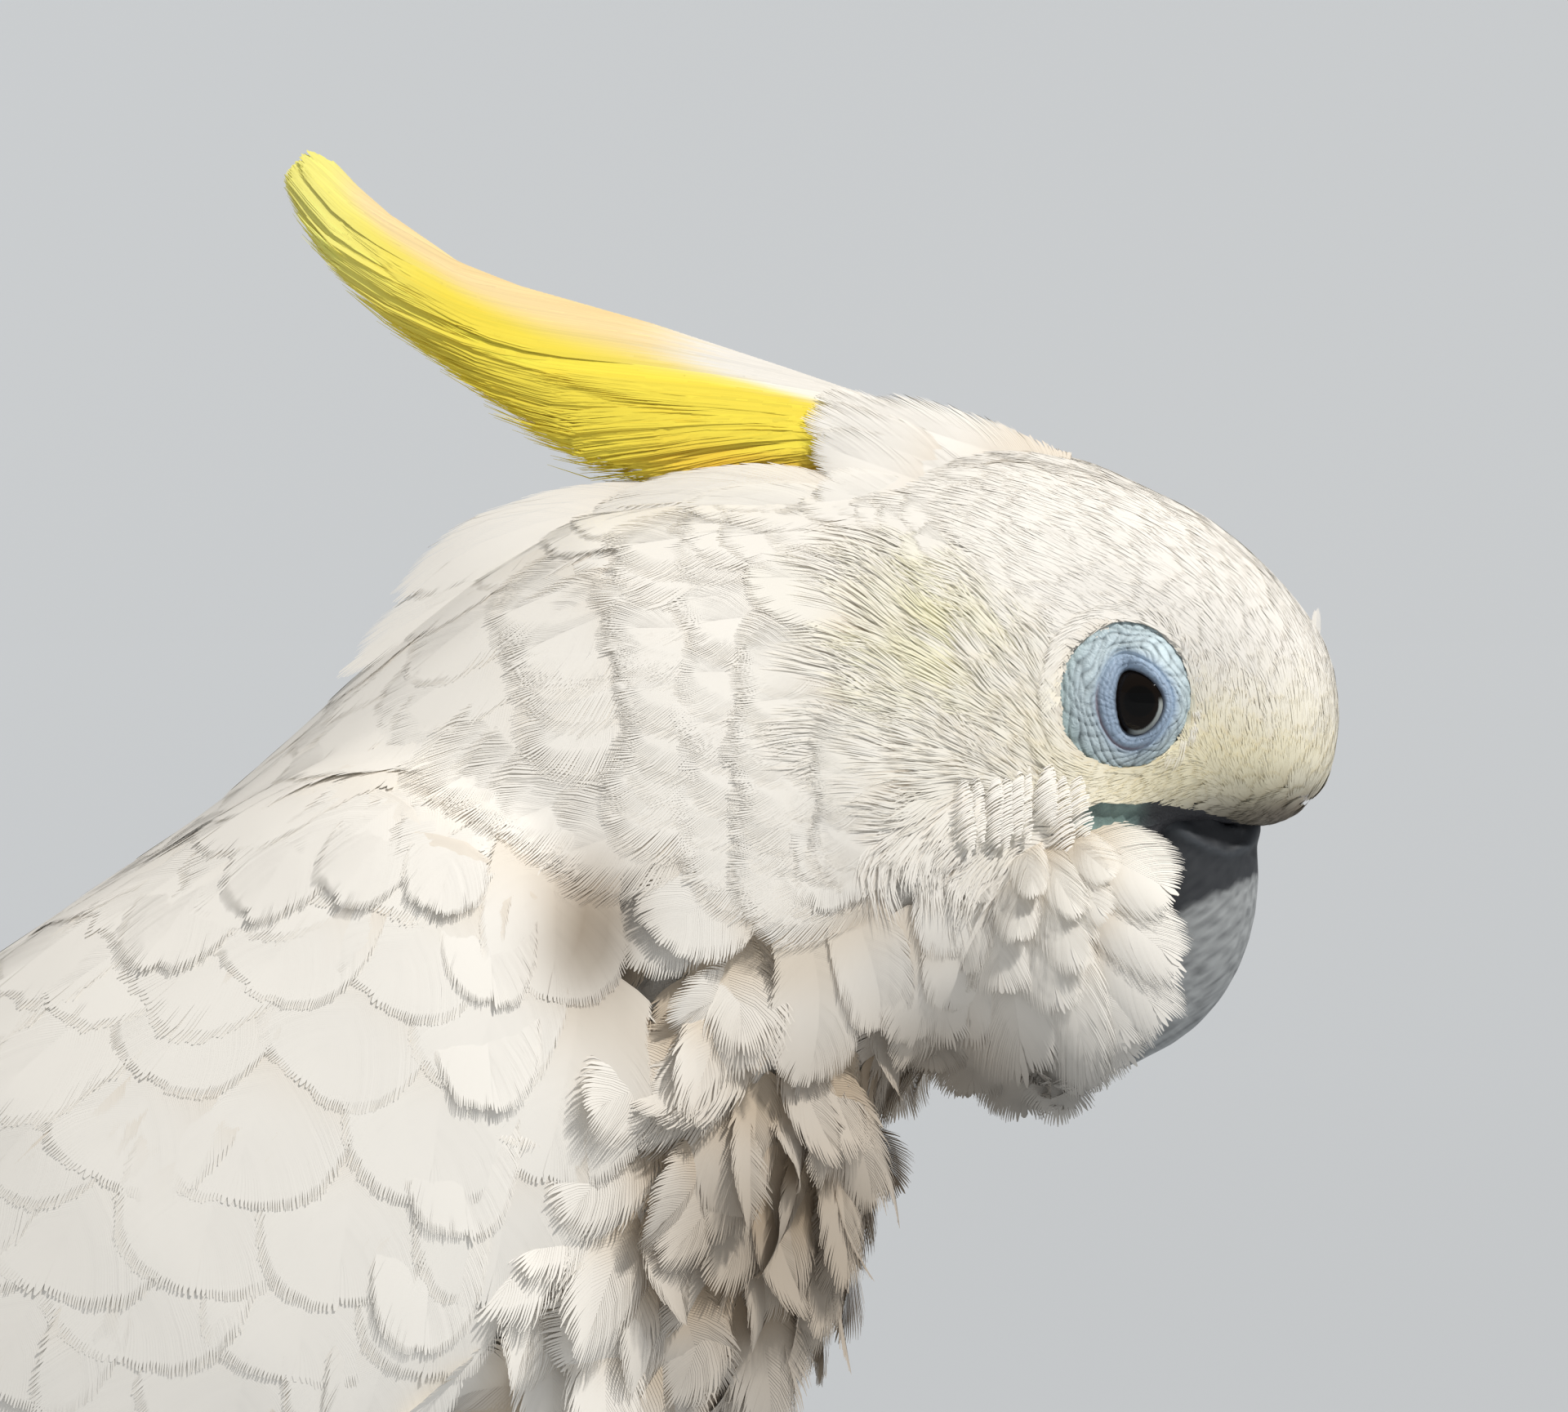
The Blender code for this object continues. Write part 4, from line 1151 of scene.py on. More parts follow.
def skin_depth(points, normals):
    """How far under the outline the skin lies: by the coat's depth, and hardly at all round the bill."""
    deep = np.array([GROWN[kind][1] for kind in GUIDE_KINDS])
    depth = np.where(on_wing(points), 4.6, felt(points, GUIDE_TABLE[:, :2], REACH) @ deep + 0.5)
    depth = depth + 6.0 * smooth(1.5 * spot(points, *NECK_FOLD)) + 3.0 * spot(points, -56, -74, 30, 36)
    mouth = in_bill(points + np.array([0, 0, -0.8]))
    beside_bill = 0.2 + 1.5 * np.clip(1 + 2.2 * normals[:, 2], 0, 1)
    beside_bill = beside_bill + 5.0 * smooth((-22.5 - points[:, 2]) / 3)
    return np.where(mouth, beside_bill, depth)


def largest_part(quads, count):
    """Of the quads that are left of a surface, those that hang together."""
    label = np.arange(count)
    while True:
        lower = label.copy()
        np.minimum.at(lower, quads.ravel(), np.repeat(label[quads].min(axis=1), 4))
        lower = lower[lower]
        if (lower == label).all():
            break
        label = lower
    part = label[quads[:, 0]]
    return quads[part == np.bincount(part).argmax()]


def make_skin():
    at = outline.points
    points = at - outline.normals * skin_depth(at, outline.normals)[:, None]
    beside_eye = (np.abs(at[:, 1]) > SIDE_OF_HEAD) & (ring_share(at) < 1.02)
    behind = (at[:, 0] < FEATHERS_ONLY_BEHIND) | (on_wing(at) & (wings.split(at)[0] > WING_SKIN_END))
    quads = largest_part(outline.quads[~(beside_eye | behind)[outline.quads].all(axis=1)], len(points))
    mouth = in_bill(at + np.array([0, 0, -1.6])) & (at[:, 2] > -25)
    bare = mix(MOUTH_SKIN, CERE_SKIN, smooth((at[:, 0] + 1.5) / 3.5))
    bare = bare * (1 + 0.35 * ripple(33, *(at * 1.5).T))[:, None]
    # the skin under the coat gets the same painted warm shade
    tint = np.where(mouth[:, None], bare, mix(WHITE * 0.90, SHADE_BROWN, brown_shade_share(at)))
    points, quads, tint = joined([(points, quads, tint)] + [eye_ring(side) for side, _ in SIDES])
    mesh_object("skin", points, quads, skin_paint, unwrap(points), tint, FLESH)


make_skin()


# ---------------------------------------------------------------- eyes

PUPIL = np.array([0.0012, 0.0012, 0.0012])
IRIS = np.array([0.006, 0.0035, 0.0022])
EYE_WHITE = np.array([0.36, 0.39, 0.38])
EYE_GRID = 120


def make_eye(side, word):
    """The ball of one eye: a dark iris that can hardly be told from the pupil, under a wet surface."""
    out, ahead, up = eye_axes(side)
    polar = np.linspace(0, math.pi, EYE_GRID)[:, None]
    turn = np.linspace(0, 2 * math.pi, EYE_GRID, endpoint=False)[None]
    x, y, z = np.sin(polar) * np.cos(turn), np.sin(polar) * np.sin(turn), np.cos(polar) + 0 * turn
    on_ball = ahead * x[..., None] + up * y[..., None] + out * z[..., None]
    points = np.array([0, side * EYE_OUT, 0]) + EYE_RADIUS * on_ball
    aim = unit(np.array([-2.3, 0.2, EYE_RADIUS]))
    off = np.degrees(np.arccos(np.clip(x * aim[0] + y * aim[1] + z * aim[2], -1, 1)))
    tint = mix(PUPIL, IRIS, smooth((off - 20) / 4))
    # a thin pale crescent shows inside the lids, below and in front
    flat = np.stack([x * EYE_RADIUS + LIDS_AHEAD, y * EYE_RADIUS], -1)
    around = np.arctan2(flat[..., 1], flat[..., 0])
    edge = np.linalg.norm(lid_edge(around.ravel()), axis=1).reshape(around.shape)
    gap = edge - np.linalg.norm(flat, axis=-1)
    pale = smooth((0.80 - gap) / 0.25) * smooth((np.cos(around + 0.80) - 0.45) / 0.35) * (z > 0)
    tint = mix(tint, EYE_WHITE, pale).reshape(-1, 3)
    points, quads = points.reshape(-1, 3), ring_quads(EYE_GRID, EYE_GRID, side)
    mesh_object(f"eyeball_{word}", points, quads, eye_paint, None, tint, [f"eye_{word}"])


for side, word in SIDES:
    make_eye(side, word)


# ---------------------------------------------------------------- where the coat grows

# places of the side view and headings on the folded wing
WING_GUIDES = np.array([
    (-96, -44, 250), (-108, -40, 238), (-122, -42, 232), (-140, -48, 228), (-165, -62, 222),
    (-96, -64, 262), (-112, -62, 262), (-130, -64, 256), (-150, -70, 242),
    (-100, -86, 266), (-116, -86, 268), (-134, -88, 264), (-152, -90, 250), (-175, -96, 228),
    (-112, -106, 256), (-130, -110, 250), (-150, -112, 238), (-180, -120, 222),
    (-240, -150, 214), (-300, -180, 214),
], float)


def wing_lie(points):
    return unit(felt(points, WING_GUIDES[:, :2], 40) @ heading_vector(WING_GUIDES[:, 2]))


def free_of_bare(points):
    """True where the coat grows: not on the eye rings, the corners of the bill or the bill."""
    ring = (ring_share(points) < 1.0) & (np.abs(points[:, 1]) > SIDE_OF_HEAD)
    return ~ring & ~in_bill(points)


def face(points):
    """The coat of the head, but for the place under the crimped plumes and the corner of the bill."""
    f, u = points[:, 0], points[:, 2]
    return free_of_bare(points) & ~((f > -13) & (f < 0) & (u < -14.5) & (u > -30))


def body(points):
    """The coat of the neck, breast, back and belly; the rump is hidden under the wings."""
    rump = (points[:, 0] < -216) & (points[:, 2] > -150)
    return free_of_bare(points) & ~on_wing(points) & ~rump & (points[:, 0] > -232)


def fine_side(points):
    """The right side and the front of the body, whose feathers are made finest."""
    return body(points) & (points[:, 0] > -172) & (points[:, 1] < 10)


def coarse_side(points):
    return body(points) & ~((points[:, 0] > -172) & (points[:, 1] < 10))


grow_locks("coat_face", "fur", face, rng)
grow_locks("coat_crown", "cap", face, rng)
grow_locks("coat_ear", "silk", face, rng)
grow_vanes("coat_neck_right", "contour", fine_side, rng)
grow_vanes("coat_body", "contour", coarse_side, rng, barbs=40)
grow_vanes("coat_mantle_right", "mantle", fine_side, rng)
grow_vanes("coat_mantle_left", "mantle", coarse_side, rng, barbs=42)
grow_vanes("coat_breast_right", "ruff", fine_side, rng, fray=1.3)
grow_vanes("coat_breast_left", "ruff", coarse_side, rng, barbs=34, fray=1.3)


def ring_edge(side, word, rng):
    """The short fine feathers that lie along the rim of the bare eye ring and give it a clean round edge."""
    rows = 64
    start = np.linspace(0, 2 * math.pi, rows, endpoint=False) + rng.normal(0, 0.02, rows)
    # they run from in front of the eye over and under it, and meet behind
    sweep = np.where(start < math.pi, 1, -1) * (0.20 + 0.45 * np.abs(np.sin(start)))
    t = np.linspace(0, 1, 7)[None]
    angle = start[:, None] + sweep[:, None] * t
    behind = smooth(0.5 - 0.9 * np.cos(start))[:, None]
    share = 1.03 + (0.16 + 0.16 * behind) * t**1.2 + rng.normal(0, 0.018, (rows, 1))
    flat = RING_CENTRE + np.stack([np.cos(angle), np.sin(angle)], -1) * RING_RADII * share[..., None]
    flat = flat[flat[:, -1, 1] > -10.2]
    on = outline.from_side(flat, side)
    _, normal = outline.nearest(on)
    shaft = on + normal * (-0.8 * (1 - t) ** 2 + 0.12 * t)[..., None]
    lay_locks(f"coat_ring_edge_{word}", shaft[:, 0], shaft, normal, np.full(len(shaft), 0.95), "rim", rng)


for side, word in SIDES:
    ring_edge(side, word, rng)


# ---------------------------------------------------------------- feathers with a given course


def course(places, count=9):
    """A smooth shaft through a few places in bird axes."""
    places = np.asarray(places, float)
    knots = np.concatenate([[0], np.cumsum(np.linalg.norm(np.diff(places, axis=0), axis=1))])
    t = np.linspace(0, knots[-1], 60)
    line = relaxed(np.stack([np.interp(t, knots, places[:, k]) for k in range(3)], -1), 40)
    return line[np.linspace(0, 59, count).astype(int)]


def laid(side, start, end, depth, rise, bow):
    """Shafts between places of the side view, laid on the outline: deep at the root, proud at the tip."""
    t = np.linspace(0, 1, STEPS + 1)
    run = (end - start)[:, None]
    square = np.stack([-run[..., 1], run[..., 0]], -1)
    depth, rise, bow = ((value + np.zeros(len(start)))[:, None] for value in (depth, rise, bow))
    flat = start[:, None] + run * t[:, None] + square * (bow * np.sin(t * math.pi))[..., None]
    on = outline.from_side(flat, side)
    _, normal = outline.nearest(on)
    on[..., 1] = relaxed(on[..., 1], 3, axis=1)
    normal = relaxed_normals(normal, 3)
    return on + normal * (rise * t**2 - depth * (1 - t) ** 1.35)[..., None], normal


# bands of broad feathers on the side of the neck: the line of their tips from its top to its foot,
# headings there, length, half width, feathers in the band, how far the tips stand off
BANDS = (
    ((-103, -13), (-86, -23), (218, 200), 28, 9.5, 5, 0.5),
    ((-94, 13), (-89, -7), (205, 212), 28, 10.0, 5, 0.5),
    ((-77.5, 22), (-76, -16), (188, 196), 25, 8.6, 11, 0.7),
    ((-68, 27), (-67, -26), (182, 195), 22, 8.5, 11, 0.1),
    ((-59, 8), (-58.5, -29), (179, 190), 21, 7.6, 12, 0.55),
    ((-55, 31), (-54, 26), (174, 174), 20, 6.5, 3, 0.2),
    ((-54, -6), (-53.5, -25), (182, 186), 17, 6.5, 7, 0.1),
    ((-48.2, -6), (-48.4, -24), (180, 184), 17, 6.2, 8, 0.5),
)
# feathers set singly: where they start and end in the side view, half width, how they stand off
LEADING = (  # along the front of the folded wing, over the breast
    (-91, -18, -93.0, -43, 7.2, 1.0),
    (-92.5, -28, -93.0, -58, 8.0, 1.3),
    (-93.5, -46, -96.5, -76, 8.6, 0.7),
    (-97.0, -62, -103.0, -92, 8.5, 0.5),
    (-103.0, -80, -111.0, -110, 8.5, 0.5),
)
SCAPULAR = (  # loose ones of the shoulder, over the wing's top
    (-97, -6, -115.5, -28.5, 7.0, 1.6),
    (-92, -10, -101.5, -30.5, 6.5, 1.8),
    (-108, -6, -128, -31, 8.5, 1.2),
    (-120, -12, -143, -38, 9.5, 0.9),
)


def neck_bands(side, word, rng):
    """The broad overlapping feathers of BANDS on one side of the neck."""
    rows = []
    for top, foot, headings, length, half, count, rise in BANDS:
        k = np.linspace(0, 1, count)
        end = np.array(top) + np.outer(k, np.array(foot) - np.array(top))
        end = end + rng.normal(0, (0.7, 0.9), (count, 2))
        turn = np.radians(headings[0] + (headings[1] - headings[0]) * k + rng.normal(0, 2.5, count))
        start = end - np.stack([np.cos(turn), np.sin(turn)], -1) * length
        rows += [(*s, *e, half, rise) for s, e in zip(start, end)]
    rows = np.array(rows)
    bow = rng.normal(0, 0.02, len(rows))
    shaft, normal = laid(side, rows[:, :2], rows[:, 2:4], 1.0, rows[:, 5] * 0.7 - 0.1, bow)
    lay_vanes(f"coat_neck_set_{word}", shaft, normal, rows[:, 4], "band", rng,
              fray=1.0, squareness=0.78, base=0.06, draped=True)


def set_feathers(side, word, name, table, camber, rng):
    """The feathers of one table that are set singly, on one side."""
    rows = np.array(table)
    bow = rng.normal(0, 0.02, len(rows)) - 0.05
    shaft, normal = laid(side, rows[:, :2], rows[:, 2:4], 1.8, rows[:, 5] * 0.7, bow)
    lay_vanes(f"coat_{name}_{word}", shaft, normal, rows[:, 4], "mantle", rng, camber=camber,
              barbs=92, fray=0.8, squareness=0.74, base=0.06, draped=camber is None)


for side, word in SIDES:
    neck_bands(side, word, rng)
    set_feathers(side, word, "shoulder", SCAPULAR, None, rng)
    set_feathers(side, word, "wing_front", LEADING, 0.007, rng)


# ---------------------------------------------------------------- cheek fans

CHEEK_MIDDLE, CHEEK_OUT = np.array([-10.5, -36.0]), 10.0
CHEEK_RADII = np.array([19.5, 15.5, 22.0])  # forward, out, up

# where a feather's shaft starts and ends in the side view, its half width, and how far it lies over the cheek
FANS = (
    (-14, -19, 5.4, -28.0, 5.8, 2.4),
    (-13, -23, 5.6, -38.4, 5.4, 1.3),
    (-14, -26, 4.0, -47.3, 5.6, 0.6),
    (-15, -28, -1.5, -50.6, 5.2, 0.2),
    (-17, -21, -7.5, -56.2, 5.4, 1.5),
    (-20, -22, -17.0, -54.4, 7.4, 1.3),
    (-23, -24, -25.5, -49.5, 5.8, 0.8),
    (-18, -20, -11.5, -44.8, 4.8, 2.5),
    (-21, -20, -20.5, -42.5, 5.2, 2.3),
    (-24, -20, -26.5, -38.5, 4.6, 2.2),
    (-17, -18, -9.6, -38.2, 4.3, 3.3),
    (-20, -18, -18.3, -34.6, 4.0, 3.3),
    (-15, -18, -5.2, -31.2, 3.6, 3.4),
    (-16, -17, -9.5, -30.6, 3.2, 3.9),
    (-13, -17, -4.0, -25.2, 3.2, 3.6),
    (-23, -17, -24.3, -28.4, 3.6, 3.4),
    (-19, -16, -16.2, -27.8, 3.2, 4.2),
    (-38, -26, -27.6, -43.6, 5.6, 1.2),
    (-36, -19, -31.5, -33.0, 4.6, 2.2),
)
CHIN = (  # in the shade beneath the fans
    (-13, -36, -1.0, -52.4, 6.2, -2.2),
    (-15, -38, -8.5, -57.6, 7.0, -2.0),
    (-19, -40, -17.0, -60.2, 7.2, -2.0),
    (-24, -40, -25.0, -57.6, 6.8, -1.8),
    (-30, -40, -30.5, -53.5, 6.0, -1.2),
)


def cheek_side(f, u):
    inside = 1 - ((f - CHEEK_MIDDLE[0]) / CHEEK_RADII[0]) ** 2 - ((u - CHEEK_MIDDLE[1]) / CHEEK_RADII[2]) ** 2
    return CHEEK_OUT + CHEEK_RADII[1] * np.sqrt(np.clip(inside, 0.03, 1))


def cheek_out(f, u):
    """The way the cheek faces, as directions in bird axes for the left side."""
    step = 0.5
    slope_f = (cheek_side(f + step, u) - cheek_side(f - step, u)) / (2 * step)
    slope_u = (cheek_side(f, u + step) - cheek_side(f, u - step)) / (2 * step)
    return unit(np.stack([-slope_f, 1 + 0 * f, -slope_u], -1))


def from_flat(directions):
    """Directions of the side view in bird axes."""
    return np.stack([directions[..., 0], 0 * directions[..., 0], directions[..., 1]], -1)


def fan(name, table, side, rng):
    """Broad feathers that spread from behind the corner of the bill, each bent over the cheek."""
    rows = np.array(table, float)
    count = len(rows)
    rows = rows[rng.permutation(count)]
    t = np.linspace(0, 1, STEPS + 1)[None, :, None]
    v = np.linspace(-1, 1, 5)
    start, run = rows[:, None, None, :2], (rows[:, 2:4] - rows[:, :2])[:, None, None]
    size = np.linalg.norm(run, axis=-1, keepdims=True)
    square = np.stack([-run[..., 1], run[..., 0]], -1) / size
    sag = rng.normal(0, 0.5, (count, 1, 1)) * np.sin(t * math.pi)
    half_width = rows[:, 4] * (1 + 0.05 * rng.normal(0, 1, count))
    half = half_width[:, None, None]
    flat = start + run * t[..., None] + square * (sag + v * half)[..., None]
    f, u = flat[..., 0], flat[..., 1]
    roll = rng.normal(0, 0.35, (count, 1, 1))
    rise = 1.35 * rows[:, 5][:, None, None] * np.sin(np.clip(t * 1.2, 0, 1) * math.pi / 2)
    high = 0.3 + rise - 2.2 * (1 - t) ** 2 + 1.9 * t**2.5 - 9 * np.clip(t - 0.84, 0, 1) ** 2
    slope = np.gradient(high[..., 0], axis=1) * STEPS / size[:, 0, 0]
    high = high - 1.1 * v**2 * (half / 5) + roll * v * t
    out = np.clip(cheek_side(f, u), 4.0, None) + high
    face = cheek_out(f, u) + np.array([0.0, 0.25, 0.0]) - from_flat(run / size) * slope[..., None, None]
    face = face + from_flat(square) * (2.2 * v / 5 - roll * t / half)[..., None]
    mirror = np.array([1, side, 1])
    sheet, facing_out = np.stack([f, out, u], -1) * mirror, unit(face) * mirror
    lay_vanes(name, sheet[:, :, 2], facing_out[:, :, 2], half_width, "fan", rng,
              camber=0.0, sheet=(sheet, facing_out), fray=1.1, squareness=0.58, base=0.08)


for side, word in SIDES:
    fan(f"coat_cheek_{word}", FANS, side, rng)
    fan(f"coat_chin_{word}", CHIN, side, rng)


# ---------------------------------------------------------------- crimped plumes behind the bill

PLUMES, RIBS, RIB_STEPS = 10, 46, 7


def crimped(side, word, rng):
    """A row of narrow hanging plumes, each a stack of curved ribs that stand out like the teeth of a comb."""
    each = (PLUMES, RIBS)
    forward = np.linspace(-26.0, -9.2, PLUMES) + rng.normal(0, 0.35, PLUMES)
    top = -5.6 - 0.9 * np.abs(forward + 14) / 10 + rng.normal(0, 0.5, PLUMES)
    length = 14.6 - 0.10 * np.abs(forward + 18) + rng.normal(0, 1.2, PLUMES)
    t = np.linspace(0, 1, RIBS)[None, :] + rng.normal(0, 0.006, each)
    f = forward[:, None] + 0.6 * np.sin(t * 2.4 + 0.25 * forward[:, None])
    f = f + 3.2 * np.clip(t - 0.55, 0, 1) ** 1.5
    u = top[:, None] - length[:, None] * t
    stand = -2.6 + 3.9 * np.sin(np.clip(t * 1.25, 0, 1) * math.pi * 0.58)
    middle = outline.from_side(np.stack([f, u], -1), side)
    middle = middle + np.array([0.10, side * 1.0, 0.05]) * stand[..., None]
    x = np.linspace(-1, 1, RIB_STEPS)
    half = (1.25 + 0.2 * rng.normal(0, 1, (PLUMES, 1))) * np.sin(np.clip(0.45 + t, 0, 1) * math.pi * 0.5)
    half = half * (1 - 0.7 * smooth((t - 0.80) / 0.20)) * (1 + 0.10 * rng.normal(0, 1, each))
    half = (half * (0.3 + 0.7 * smooth((t - 0.15) / 0.35)))[..., None]
    # each rib arches over the plume from its front edge and sweeps down behind it to a free point
    back = (1 - x) / 2
    bulge = side * half * (0.55 * np.sin(back * 2.7) - 0.25)
    line = middle[:, :, None] + np.stack([half * (0.85 - 2.3 * back), bulge, -half * 1.55 * back**1.5], -1)
    lean = unit(np.array([0.05, side * 0.40, -0.92]) + 0.12 * rng.normal(0, 1, (*each, 1, 3)))
    taper = 0.12 * np.clip(1.25 * (1 - back**2.2), 0.12, 1)
    wide = lean * taper[:, None] * (1 + 0.15 * rng.normal(0, 1, (*each, 1, 1)))
    points = np.stack([line - wide, line + wide], -2)
    soft = unit(np.array([0.1, side * 1.0, 0.45]) + 0.7 * np.outer(x, [1, 0, 0]))
    soft = np.broadcast_to(soft[:, None], points.shape).reshape(-1, 3)
    # painted shade: each rib is a little darker along its upper edge
    tint = WHITE * (0.97 + 0.04 * np.tile([0.0, 1.0], PLUMES * RIBS * RIB_STEPS)[:, None])
    per_plume = RIBS * RIB_STEPS * 2
    down = np.tile(np.repeat(t[0], RIB_STEPS * 2), PLUMES)
    uv = tuft_uv(middle[:, 0], down, np.tile(np.repeat(x, 2), PLUMES * RIBS), per_plume)
    mesh_object(f"coat_crimped_{word}", points.reshape(-1, 3), strip_quads(points), feather_paint,
                uv, tint, (), soft, 0.86)


for side, word in SIDES:
    crimped(side, word, rng)


# ---------------------------------------------------------------- crest

CREST_TOP = np.array([
    (-8, 31.5), (-22, 38.0), (-36, 43.2), (-51.9, 48.6), (-71, 54.9),
    (-90, 60.3), (-99.5, 64.0), (-109, 70.6), (-114.5, 75.4), (-120.6, 81.9),
])
CREST_LOW = np.array([
    (-8, 29.0), (-22, 31.0), (-36, 31.0), (-52, 31.6), (-68, 32.6),
    (-82, 36.8), (-96, 45.8), (-109, 55.8), (-118.5, 65.5), (-125.2, 76.5),
])
CREST_THICK = np.array([2.0, 4.5, 6.4, 7.6, 6.8, 5.4, 4.4, 3.4, 2.4, 1.2])
CREST_KNOTS = np.linspace(0, 1, len(CREST_TOP))
# layers of barbs: where they start along the crest and down from its upper edge, where they end down it,
# how far out they lie over its shape, barbs
CREST_LAYERS = (
    (0.02, 0.00, 1.00, 0.35, 420), (0.02, 0.10, 1.02, 0.05, 320), (0.02, 0.25, 0.99, -0.5, 260),
    (0.02, 0.00, 0.94, -1.2, 240), (0.02, 0.30, 1.00, -3.2, 160), (0.02, 0.45, 1.03, -0.2, 240),
    (0.02, 0.00, 0.60, 0.42, 260),
)
CREST_YELLOW = np.array([0.97, 0.79, 0.080])
CREST_LEMON = np.array([0.97, 0.90, 0.25])
CREST_ORANGE = np.array([0.95, 0.56, 0.05])
CREST_PEACH = np.array([0.97, 0.76, 0.46])


def crest_bulge(b):
    """The crest's section from its sharp upper edge to its loose lower edge, which stays full."""
    return 0.8 * np.sin(np.clip(0.004 + 0.836 * b, 0.004, 0.98) * math.pi) ** 0.55


def crest_place(c, b, side, over):
    """Bird axes from shares along the crest and down from its upper edge, on one side of it."""
    def read(edge):
        return np.stack([np.interp(c, CREST_KNOTS, edge[:, k]) for k in (0, 1)], -1)

    top, low = read(CREST_TOP), read(CREST_LOW)
    flat = top + (low - top) * b[..., None]
    thick = np.interp(c, CREST_KNOTS, CREST_THICK)
    out = np.maximum(thick * crest_bulge(b) + over * np.clip(b * 4, 0.1, 1), 0.15)
    return np.stack([flat[..., 0], side * out, flat[..., 1]], -1)


def crest_tint(c, b):
    """Yellow, paler to the tip, orange low at the root, peach along the top, and white over the root."""
    tint = mix(CREST_YELLOW, CREST_LEMON, smooth((c - 0.66) / 0.3))
    tint = mix(tint, CREST_ORANGE, 0.85 * smooth((b - 0.62) / 0.3) * (1 - smooth((c - 0.38) / 0.14)))
    rim = (1 - smooth((b - 0.12) / 0.24)) * smooth((c - 0.36) / 0.10) * (1 - smooth((c - 0.84) / 0.13))
    tint = mix(tint, CREST_PEACH, 0.85 * rim)
    base = (1 - smooth((b - 0.17) / 0.10)) * (1 - smooth((c - 0.40) / 0.06))
    return mix(tint, WHITE, np.maximum(base, 1 - smooth((c - 0.24) / 0.03)))


def crest_layer(side, first_c, first_b, last_b, over, count, rng):
    """Long barbs that leave the upper edge and stream back at a small angle to a loose fringe."""
    run = 0.56  # length of a barb as a share of the crest
    column = (count, 1)
    begin = np.linspace(first_c - run * 0.72, 0.93, count)[:, None]
    u = np.linspace(0, 1, 12)[None]
    locks = np.cumsum(rng.random(count) < 0.09)
    lock = rng.normal(0, 1, (locks.max() + 1, 4))[locks]
    long, low, wavy, proud = (lock[:, k:k + 1] for k in range(4))
    stop = begin + run * (1 + 0.05 * long + rng.normal(0, 0.025, column))
    first = np.maximum(begin, first_c + 0.01 * rng.random(column))
    fade = np.clip((stop - 0.97) / 0.4, 0, 1)
    stop = stop + 0.05 * rng.random(column) * (rng.random(column) < 0.25)
    end = 1.0 - 0.007 * np.abs(rng.normal(0, 1, column)) - 0.045 * np.abs(2 * fade - 0.9) ** 2.5
    last = np.maximum(np.minimum(stop, end), first + 0.02)
    c = first + (last - first) * u
    x = np.clip((c - begin) / run, 0, 1.2)
    fall = last_b * (1 + 0.02 * low + rng.normal(0, 0.01, column)) - first_b
    b = first_b + fall * (0.35 * x + 0.65 * x**1.5) + 0.012 * np.sin(7 * x + wavy * 3) * x
    lift = over + 0.30 * proud * x**1.5 + 0.10 * np.sin(8 * x + wavy * 4) * x
    line = crest_place(c, b, side, lift)
    outward = np.array([0, float(side), 0])
    wide = unit(np.cross(unit(np.gradient(line, axis=1)), outward))
    gap = np.linalg.norm(np.diff(line, axis=0), axis=-1)
    gap = np.concatenate([gap, gap[-1:]])
    free = np.clip(1 - (x - 0.66 - 0.06 * wavy) / 0.40, 0.14, 1)
    width = (0.55 * np.clip(gap, 0.08, 0.55) * free + 0.04) * np.where(u > 0.97, 0.25, 1.0)
    roll = 0.06 * long[..., None] + 0.18 * rng.normal(0, 1, (count, 1, 1)) * (x[..., None] > 0.7)
    edge = (wide * np.cos(roll) + outward * np.sin(roll)) * width[..., None]
    points = np.stack([line - edge, line + edge], -2)
    tint = np.repeat(crest_tint(c, b)[:, :, None], 2, 2)
    tint = tint * (1 + 0.04 * low[..., None, None] + 0.03 * rng.normal(0, 1, (count, 1, 1, 1)))
    patch = np.stack(np.broadcast_arrays(u[..., None] - 0.5, np.array([-0.4, 0.4])), -1)
    uv = unwrap(line[:, 0])[:, None, None] + TUFT * patch
    soft = outward + np.array([0.15, 0, 0.5]) * (1 - 0.75 * b[..., None])
    soft = np.repeat(soft[:, :, None], 2, 2).reshape(-1, 3)
    tint = np.clip(tint, 0, 1).reshape(-1, 3)
    return points.reshape(-1, 3), strip_quads(points), tint, uv.reshape(-1, 2), soft


def make_crest(rng):
    layers = [crest_layer(side, *layer, rng) for side, _ in SIDES for layer in CREST_LAYERS]
    points, quads, tint, uv, soft = joined(layers)
    mesh_object("crest_plumes", points, quads, crest_paint, uv, tint, ["crest"], soft, 0.80)


make_crest(rng)


